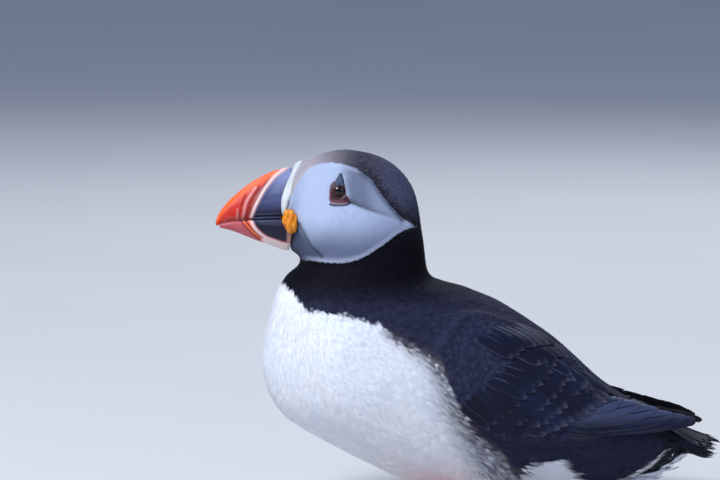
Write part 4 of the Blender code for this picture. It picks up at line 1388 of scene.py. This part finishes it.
    def wrinkle(self, mesh: Mesh) -> None:
        """Folds the rosette in uneven ridges that run down it, with painted shade in the hollows between
        them.
        """
        points = get_points(mesh) / MM
        low, high = points.min(axis=0), points.max(axis=0)
        across = (points[:, 0] - low[0]) / (high[0] - low[0])
        down = (points[:, 2] - low[2]) / (high[2] - low[2])
        folds = np.sin(across * 15 + 2.2 * np.sin(down * 5.0)) * 0.6 + np.sin(down * 13 + across * 4) * 0.4
        # Painted shade: the hollows of the folds take the rosette's darker rim colour.
        set_field(mesh, "rim", ramp(-folds, 0.2, 1.0) * 0.7)
        set_points(mesh, (points + get_normals(mesh) * (folds * 0.26)[:, None]) * MM)


# ---------------------------------------------------------------- wings and tail


@dataclass(frozen=True)
class FeatherRow:
    """Long feathers side by side, from the first one to the last.

    Roots and tips lie along curves in the side view, in mm. Each root is sunk under the surface and
    each tip is raised over it, so that a row covers the roots of the row behind it.
    """

    name: str
    count: int
    roots: tuple[Point, ...] = ()
    tips: tuple[Point, ...] = ()
    widths: Point = (5.5, 5.5)
    root_level: float = -0.9
    tip_level: float = 0.35
    step: float = 0.03
    bow: float = 0.03
    blunt: float = 0.5
    rows: int = 12
    columns: int = 4
    ragged: float = 0.0
    thickness: float = 0.2


class Vanes:
    """Long feathers of one row, gathered into one mesh."""

    def __init__(self, row: FeatherRow, seed: int) -> None:
        """Starts an empty row."""
        self.row = row
        self.rng = np.random.default_rng(seed)
        self.points: list[Vector] = []
        self.faces: list[tuple[int, ...]] = []
        self.fields: list[tuple[float, float, float]] = []
        self.places: list[Point] = []

    def half_width(self, share: float) -> float:
        """Half the vane's width at a share of its length, from 0 to 1."""
        root = min(1.0, 0.3 + 3.0 * share)
        tip = (1 - max(0.0, (share - 0.68) / 0.32) ** 2.2) ** self.row.blunt if share < 1 else 0.0
        return root * tip

    @property
    def shares(self) -> list[float]:
        """Where the rows of points lie along a feather, from 0 at its root to 1 at its tip."""
        return [1 - (1 - i / self.row.rows) ** 1.3 for i in range(self.row.rows + 1)]

    def add(self, tree: BVHTree, line: Sequence[Vector], width: float, extra: float, place: float) -> None:
        """Lays one feather on a surface.

        Args:
            tree: The surface.
            line: Where the middle of the feather lies at each of its shares, in metres.
            width: Its full width in mm.
            extra: How much more its tip is raised, in mm.
            place: Its place across the row's bake map.
        """
        row, start = self.row, len(self.points)
        wide = row.columns + 1
        axis = line[-1] - line[0]
        ends = self.rng.uniform(0, row.ragged, wide)
        luck = self.rng.uniform(0.1, 1.0)
        for share, centre in zip(self.shares, line):
            spot, normal, _, _ = tree.find_nearest(centre)
            across = normal.cross(axis).normalized()
            half = width * MM / 2 * self.half_width(share)
            middle = spot + across * math.sin(math.pi * share) * row.bow * axis.length
            for j in range(wide):
                side = 2 * j / row.columns - 1
                trim = side * side * half * 0.4 / axis.length + ends[j] * ramp(share, 0.8, 1.0)
                near, way, _, _ = tree.find_nearest(middle + across * side * half - axis * float(trim))
                level = row.root_level + (row.tip_level + extra - row.root_level) * share
                level += 0.25 * (1 - side * side) * share - 0.08 * side
                self.points.append(near + way * level * MM)
                self.fields.append((share, side, luck))
                self.places.append((place * 0.9 + 0.05 + side * 0.4 / row.count * 0.9, share))
        self.faces += quads(np.arange(start, len(self.points)).reshape(-1, wide))

    def show(self, name: str, finish: Material) -> Object:
        """The row's object, with its fields, bake map and finish."""
        mesh = mesh_from(name, self.points, self.faces)
        for field_name, values in zip(("along", "across", "luck"), np.array(self.fields).T):
            set_field(mesh, field_name, values)
        corners = read(mesh.loops, "vertex_index", 1, np.int32)[:, 0]
        places = np.array(self.places, np.float32)[corners]
        mesh.uv_layers.new(name="OFBake").data.foreach_set("uv", places.ravel())
        mesh.materials.append(finish)
        made = new_object(name, mesh)
        solid = made.modifiers.new("thick", "SOLIDIFY")
        solid.thickness = self.row.thickness * MM
        solid.offset = -1
        apply_modifiers(made)
        return made


def lay_side_row(row: FeatherRow, seed: int, tree: BVHTree, inner: float, limit: float = math.inf,
                 jitter: float = 0.0) -> Vanes:
    """Lays a row on the bird's left side, as the side view shows it.

    Args:
        row: The row, with its curves.
        seed: What its random draws start from.
        tree: The surface.
        inner: The Y that a point is laid nearest to where nothing shows at its X and Z, in mm.
        limit: The furthest Y that counts as showing, in mm.
        jitter: How far each tip may stray, in mm.

    Returns:
        The row's feathers.
    """
    vanes = Vanes(row, seed)
    for i in range(row.count):
        t = i / (row.count - 1)
        root, tip = along_spline(row.roots, t), along_spline(row.tips, t)
        if jitter:
            tip = tip + vanes.rng.uniform(-jitter, jitter, 2)
        line = []
        for share in vanes.shares:
            x, z = root + (tip - root) * share
            spot = tree.ray_cast(Vector((x, -90.0, z)) * MM, Vector((0, 1, 0)))[0]
            if spot is None or spot.y > limit * MM:
                spot = tree.find_nearest(Vector((x, inner, z)) * MM)[0]
            line.append(spot)
        width = row.widths[0] + (row.widths[1] - row.widths[0]) * t
        vanes.add(tree, line, width, i * row.step, (i + 0.5) / row.count)
    return vanes


@dataclass
class Wing:
    """The folded wings' long feathers: primaries, secondaries, tertials, coverts and scapulars."""

    rows: tuple[FeatherRow, ...] = (
        FeatherRow("primary_vanes", 8, ((36, 36.6), (38, 39), (44, 49)),
                   ((106.8, 36.8), (104.6, 38.4), (99, 40.6), (90, 43.2), (78, 46.6), (66, 50.4)),
                   (8.4, 9.0), root_level=-0.5, tip_level=0.0, step=0.07, bow=-0.01, blunt=0.7, rows=20,
                   columns=6),
        FeatherRow("secondary_vanes", 12, ((0, 47), (12, 60), (26, 74)),
                   ((29, 37), (38, 40.6), (48, 45), (56, 49), (63, 52)), (7.0, 8.5), step=0.04),
        FeatherRow("greater_coverts", 12, ((-3, 49), (12, 61), (27, 71)),
                   ((20, 36.5), (29, 42), (38, 48), (46, 54.5), (50, 58)), (6.0, 7.0)),
        FeatherRow("median_coverts", 12, ((-7, 47), (9, 59), (24, 74)),
                   ((11, 37.5), (20, 43.5), (29, 50), (37, 57), (42, 62.5)), (5.4, 6.4)),
        FeatherRow("inner_coverts", 12, ((-12, 52), (2, 64), (18, 78)),
                   ((3, 40), (12, 47), (22, 55), (31, 63), (36, 69)), (5.0, 6.0)),
        FeatherRow("tertial_vanes", 6, ((16, 76), (21, 78), (27, 80)),
                   ((40.5, 61), (44.5, 59.4), (48, 57.5), (51.5, 55), (55.5, 51.6)), (7.5, 9.0), step=0.05),
        FeatherRow("rear_scapulars", 8, ((6, 80), (18, 83), (30, 80)),
                   ((27, 68), (36, 70), (44, 68), (50.5, 61.5)), (6.5, 7.5)),
        FeatherRow("middle_scapulars", 8, ((-6, 84), (5, 87), (17, 86)),
                   ((14, 72), (24, 76), (36, 76)), (6.5, 7.5), root_level=-1.1, tip_level=0.25),
    )

    def build(self, finish: Material, primary_finish: Material) -> None:
        """Makes the feathers of both wings, and the quills under the primaries."""
        tree = surface_of(["primaries_left", "wing_left", "trunk"], voxel=0.8, rounds=3, grow=0.25)
        for seed, row in enumerate(self.rows, 41):
            vanes = lay_side_row(row, seed, tree, inner=-24.0, limit=-12.0, jitter=0.5)
            left = vanes.show(f"{row.name}_left", primary_finish if row is self.rows[0] else finish)
            adopt_pair(left, row.name)
        for side in SIDES:
            node = f"primaries_{side}"
            bed = refined(f"quill_bed_{side}", [node], voxel=0.45, rounds=4, grow=-0.35)
            adopt(bed, "black_feathers", node, finish=primary_finish)


@dataclass
class Tail:
    """The short tail: a core between two layers of blunt feathers, their coverts and white tufts below."""

    bare_end: float = 9.0
    above: FeatherRow = FeatherRow("tail_feathers", 12, widths=(7.5, 7.5), root_level=-1.2, tip_level=0.3,
                                   bow=0.0, blunt=0.6, rows=16, columns=8, ragged=0.16, thickness=0.16)
    below: FeatherRow = FeatherRow("lower_tail_feathers", 12, widths=(7.0, 7.0), root_level=-1.2,
                                   tip_level=0.1, bow=0.0, blunt=0.6, rows=14, columns=8, ragged=0.2,
                                   thickness=0.16)
    coverts: tuple[FeatherRow, ...] = tuple(
        FeatherRow(name, count, root_level=-1.4, tip_level=lift, bow=0.0, blunt=0.6, rows=10, columns=6,
                   ragged=0.08, thickness=0.16)
        for name, count, lift in (("long_tail_coverts", 11, 0.5), ("short_tail_coverts", 12, 0.6),
                                  ("rump_feathers", 13, 0.6))
    )
    covert_reach: tuple[float, ...] = (15.0, 8.0, 1.0)
    covert_length: float = 17.0
    loose: tuple[FeatherRow, ...] = tuple(
        FeatherRow(f"undertail_tufts_{i}", 24, widths=(2.2, 2.2), root_level=-1.8, tip_level=lift, bow=0.03,
                   blunt=0.9, rows=9, ragged=0.12, thickness=0.12)
        for i, lift in enumerate((0.6, 1.2, 1.7, 2.0, 2.0))
    )
    loose_reach: tuple[float, ...] = (27.0, 21.0, 15.0, 9.0, 3.0)
    loose_half: float = 9.0
    loose_length: float = 12.0
    sides: FeatherRow = FeatherRow("outer_tail_feathers", 5, ((80, 28), (81, 34), (82, 40)),
                                   ((109.5, 22.2), (112, 24.5), (114, 27.0)), (4.6, 4.6), root_level=-1.4,
                                   tip_level=0.1, step=0.0, bow=0.0, blunt=0.7, rows=14, columns=6,
                                   ragged=0.12, thickness=0.16)

    def build(self, finish: Material, loose_finish: Material) -> None:
        """Makes the tail."""
        core = refined("tail_core", ["tail"], voxel=0.6, rounds=6, grow=-1.3)
        tree = surface_of(["tail", "trunk"], voxel=0.8, rounds=4, grow=0.1)
        low, high = (np.array(c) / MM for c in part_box("tail"))
        half = high[1]

        def place_quill(t: float, up: float, rng: np.random.Generator) -> Lay:
            """The root, tip and extra lift of a long feather, shorter at the sides and below."""
            end = high[0] - 0.6 - 7.0 * abs(t) ** 1.8 - (2.0 if up < 0 else 0.0) + rng.uniform(-1.6, 0.4)
            extra = rng.uniform(-0.7, 0.1) + 0.25 * (1 - abs(t))
            return (low[0] + 1, t * 7.0), (end, t * (half - 3.0)), extra

        def place_covert(t: float, reach: float, rng: np.random.Generator) -> Lay:
            """The same for a covert, whose tip reaches that far behind the tail's front end."""
            end, wide = low[0] + reach - 6.0 * t * t + rng.uniform(-1.5, 1.0), t * (half - 4.5)
            return (end - self.covert_length, wide * 0.9), (end, wide), 0.0

        def place_loose(t: float, reach: float, rng: np.random.Generator) -> Lay:
            """The same for a white tuft below."""
            end = low[0] + reach - 7.0 * t * t + rng.uniform(-3.0, 2.0)
            wide = t * self.loose_half + rng.uniform(-0.8, 0.8)
            return (end - self.loose_length, wide * 0.9), (end, wide), rng.uniform(-1.2, 1.0)

        for up, row in ((1, self.above), (-1, self.below)):
            fan = self.fan(row, 60 + up, up, tree, up, place_quill)
            adopt(fan.show(row.name, finish), "black_feathers")
        for seed, (row, reach) in enumerate(zip(self.coverts, self.covert_reach), 70):
            fan = self.fan(row, seed, 1, tree, reach, place_covert)
            adopt(fan.show(row.name, finish), "black_feathers")
        for seed, (row, reach) in enumerate(zip(self.loose, self.loose_reach), 80):
            fan = self.fan(row, seed, -1, tree, reach, place_loose)
            adopt(fan.show(row.name, loose_finish), "white_feathers")
        sides = lay_side_row(self.sides, 90, tree, inner=-16.0)
        adopt_pair(sides.show(f"{self.sides.name}_left", finish), self.sides.name)
        points = get_points(core.data) / MM
        points[:, 0] -= self.bare_end * ramp(points[:, 0], high[0] - 26, high[0])
        set_points(core.data, points * MM)
        adopt(core, "black_feathers", "tail", finish=finish)

    def fan(self, row: FeatherRow, seed: int, up: int, tree: BVHTree, reach: float,
            place: Callable) -> Vanes:
        """Lays a row across the tail.

        Args:
            row: The row.
            seed: What its random draws start from.
            up: 1 for the upper side or -1 for the lower side.
            tree: The surface.
            reach: What the row hands to the function that places its feathers.
            place: That function, from a feather's place between -1 and 1 to its root and tip in mm, each
                as X and Y, and how much more its tip is raised.

        Returns:
            The row's feathers.
        """
        vanes = Vanes(row, seed)
        for i in range(row.count):
            root, tip, extra = place(2 * i / (row.count - 1) - 1, reach, vanes.rng)
            start, way = np.array(root), np.array(tip) - np.array(root)
            line = []
            for share in vanes.shares:
                x, y = start + way * share
                spot = tree.ray_cast(Vector((x, y, 90.0 * up)) * MM, Vector((0, 0, -up)))[0]
                line.append(spot or tree.find_nearest(Vector((x, y, 26.0)) * MM)[0])
            vanes.add(tree, line, row.widths[0], extra, (i + 0.5) / row.count)
        return vanes


# ---------------------------------------------------------------- legs


@dataclass
class Legs:
    """Legs with webbed feet, in one scaled skin a side, the tufts round their tops, and their claws."""

    claws: tuple[str, ...] = ("inner", "middle", "outer")
    sunk: float = 5.0
    cuff: FeatherRow = FeatherRow("thigh_tufts", 34, widths=(2.0, 2.0), root_level=-1.3, tip_level=0.7,
                                  bow=0.05, blunt=0.9, rows=9, ragged=0.12, thickness=0.12)
    root_ring: float = 5.0
    root_ahead: float = 2.0
    root_rise: float = 3.5
    tip_ring: float = 3.2
    tip_drop: Point = (3.0, 6.0)

    def build(self, skin: Material, horn: Material, feathers: Material) -> None:
        """Makes both legs."""
        tree = surface_of(["trunk", "leg_left", "leg_right"], voxel=1.0, rounds=2, grow=0.1)
        for side in SIDES:
            self.dress(side, tree, feathers)
        for side in SIDES:
            nodes = (f"leg_{side}", f"foot_{side}")
            leg = refined(f"leg_skin_{side}", nodes, voxel=0.4, rounds=5, grow=0.16)
            points = get_points(leg.data)
            # The shank runs on up and inwards, into the plumage.
            top = points[:, 2].max()
            share = ramp(points[:, 2], top - 9 * MM, top)
            points[:, 1] -= SIDES[side] * self.sunk * MM * share
            points[:, 2] += 0.6 * self.sunk * MM * share
            points[:, 2] = np.maximum(points[:, 2], 0.0)
            set_points(leg.data, points)
            adopt(leg, "leg_skin", *nodes, finish=skin)
            for claw in self.claws:
                node = f"claw_{claw}_{side}"
                made = refined(f"{node}_horn", [node], voxel=0.2, rounds=4, grow=0.05)
                adopt(made, "claw_horn", node, finish=horn)

    def dress(self, side: str, tree: BVHTree, finish: Material) -> None:
        """Hangs loose belly feathers round the top of one shank, over the place where it comes out."""
        points = get_points(bpy.data.objects[f"leg_{side}"].data) / MM
        top = points[:, 2].max()
        high, low = (points[points[:, 2] > top - reach].mean(axis=0)[:2] for reach in (2.0, 5.0))
        vanes = Vanes(self.cuff, seed=95)
        for i in range(self.cuff.count):
            turn = 2 * math.pi * i / self.cuff.count
            way = np.array([math.cos(turn), math.sin(turn)])
            drop = vanes.rng.uniform(*self.tip_drop)
            root = np.array([*(high + way * self.root_ring - [self.root_ahead, 0.0]), top + self.root_rise])
            tip = np.array([*(low + way * self.tip_ring), top - drop])
            line = [Vector((root + (tip - root) * share) * MM) for share in vanes.shares]
            line = [tree.find_nearest(place)[0] for place in line]
            vanes.add(tree, line, self.cuff.widths[0], vanes.rng.uniform(-0.3, 0.6),
                      (i + 0.5) / self.cuff.count)
        adopt(vanes.show(f"{self.cuff.name}_{side}", finish), "white_feathers")


# ---------------------------------------------------------------- studio


@dataclass(frozen=True)
class Lamp:
    """A soft round light: where it stands, how wide it is, its power and its colour."""

    name: str
    place: tuple[float, float, float]
    width: float
    power: float
    tint: str = "ffffff"


@dataclass
class Studio:
    """A plain pale floor, soft lights and the camera."""

    aim: tuple[float, float, float] = (-0.0517, 0.0, 0.1224)
    azimuth: float = -6.0
    elevation: float = 6.0
    distance: float = 1.83
    lens: float = 200.0
    floor_half: float = 14.0
    lamps: tuple[Lamp, ...] = (
        Lamp("key", (-1.1, -1.0, 1.75), 0.9, 50.0, "f3f7ff"),
        Lamp("fill", (1.4, -1.3, 0.9), 1.2, 4.0, "dfeaff"),
        Lamp("rim", (0.5, 1.5, 1.4), 1.0, 14.0, "f3f7ff"),
    )

    def build(self) -> None:
        """Sets up the floor, the lights and the camera."""
        half = self.floor_half
        corners = [(-half, -half, 0), (half, -half, 0), (half, half, 0), (-half, half, 0)]
        floor = bpy.data.meshes.new("floor")
        floor.from_pydata(corners, [], [(0, 1, 2, 3)])
        board, node, place = new_material("painted_board", roughness=0.85, specular_ior_level=0.2)
        fleck = node("TexNoise", {"Vector": place, "Scale": 3.0, "Detail": 4.0}, "Fac")
        floor.materials.append(complete(board, paint(node, "d2d1cd", ("dad9d6", fleck))))
        new_object("floor", floor)
        world = bpy.data.worlds.new("studio")
        world.use_nodes = True
        for name, value in (("Color", colour("b9ccf7")), ("Strength", 0.4)):
            world.node_tree.nodes["Background"].inputs[name].default_value = value
        scene = bpy.context.scene
        scene.world = world
        scene.view_settings.view_transform = "Standard"
        for lamp in self.lamps:
            light = bpy.data.lights.new(lamp.name, "AREA")
            light.shape = "DISK"
            light.size = lamp.width
            light.energy = lamp.power
            light.color = colour(lamp.tint)[:3]
            self.aim_from(new_object(lamp.name, light), Vector(lamp.place))
        camera = bpy.data.cameras.new("camera")
        camera.lens = self.lens
        turn, rise = math.radians(self.azimuth), math.radians(self.elevation)
        back = Vector((math.sin(turn) * math.cos(rise), -math.cos(turn) * math.cos(rise), math.sin(rise)))
        scene.camera = new_object("camera", camera)
        self.aim_from(scene.camera, Vector(self.aim) + back * self.distance)

    def aim_from(self, holder: Object, place: Vector) -> None:
        """Puts a lamp or the camera at a place, and aims it at the bird."""
        holder.location = place
        holder.rotation_euler = (Vector(self.aim) - place).to_track_quat("-Z", "Y").to_euler()


def main() -> None:
    """Builds the bird and the studio, in order."""
    logging.basicConfig(level=logging.INFO, format="%(name)s: %(message)s")
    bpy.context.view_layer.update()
    plumage = ContourFeathers().make()
    vanes = FlightFeathers().make()
    Studio().build()
    skin = Skin()
    skin.build(plumage)
    Coat(skin).build(plumage)
    ball = EyeSurface().make()
    lid = SoftHorn("lid_skin", "470f20", "210610", roughness=0.45, grain_mm=0.5, bump_mm=0.06, rim="a0455f")
    brow = SoftHorn("brow_plate_horn", "58647c", "363f56", roughness=0.45, grain_mm=0.7, bump_mm=0.04,
                    specular=0.25, rim="12141f")
    bar = SoftHorn("bar_plate_horn", "86757f", "615362", roughness=0.4, grain_mm=0.7, bump_mm=0.04,
                   rim="1d1b2c")
    eye_finishes = (ball, lid.make(), brow.make(), bar.make())
    for side in SIDES:
        Eye(side, skin).build(*eye_finishes)
    cere = SoftHorn("cere_skin", "dcdfd9", "c3cac9", roughness=0.42, grain_mm=0.5, bump_mm=0.015)
    # The rosette's rim colour is painted shade, for the hollows of its folds.
    rosette = SoftHorn("rosette_skin", "f7a01f", "e07e10", roughness=0.38, grain_mm=1.2, rim="b4560a")
    Bill().build(BillHorn().make(), cere.make(), rosette.make())
    Wing().build(vanes, FlightFeathers("primary_feathers", skylight_from=(38.5, 43.5)).make())
    loose = FlightFeathers("undertail_feathers", vane="dfe4ee", sheen="d4dae8", edge="eceff6",
                           shaft="d9deea", roughness=0.7, specular=0.1).make()
    tail = FlightFeathers("tail_feathers", vane="0b0d18", sheen="12162a", edge="2c2d3a").make()
    Tail().build(tail, loose)
    claw = SoftHorn("claw_horn", "2c2724", "0f0d0c", roughness=0.3, grain_mm=1.0, bump_mm=0.05)
    Legs().build(ScutedSkin().make(), claw.make(), loose)


if __name__ == "__main__":
    main()
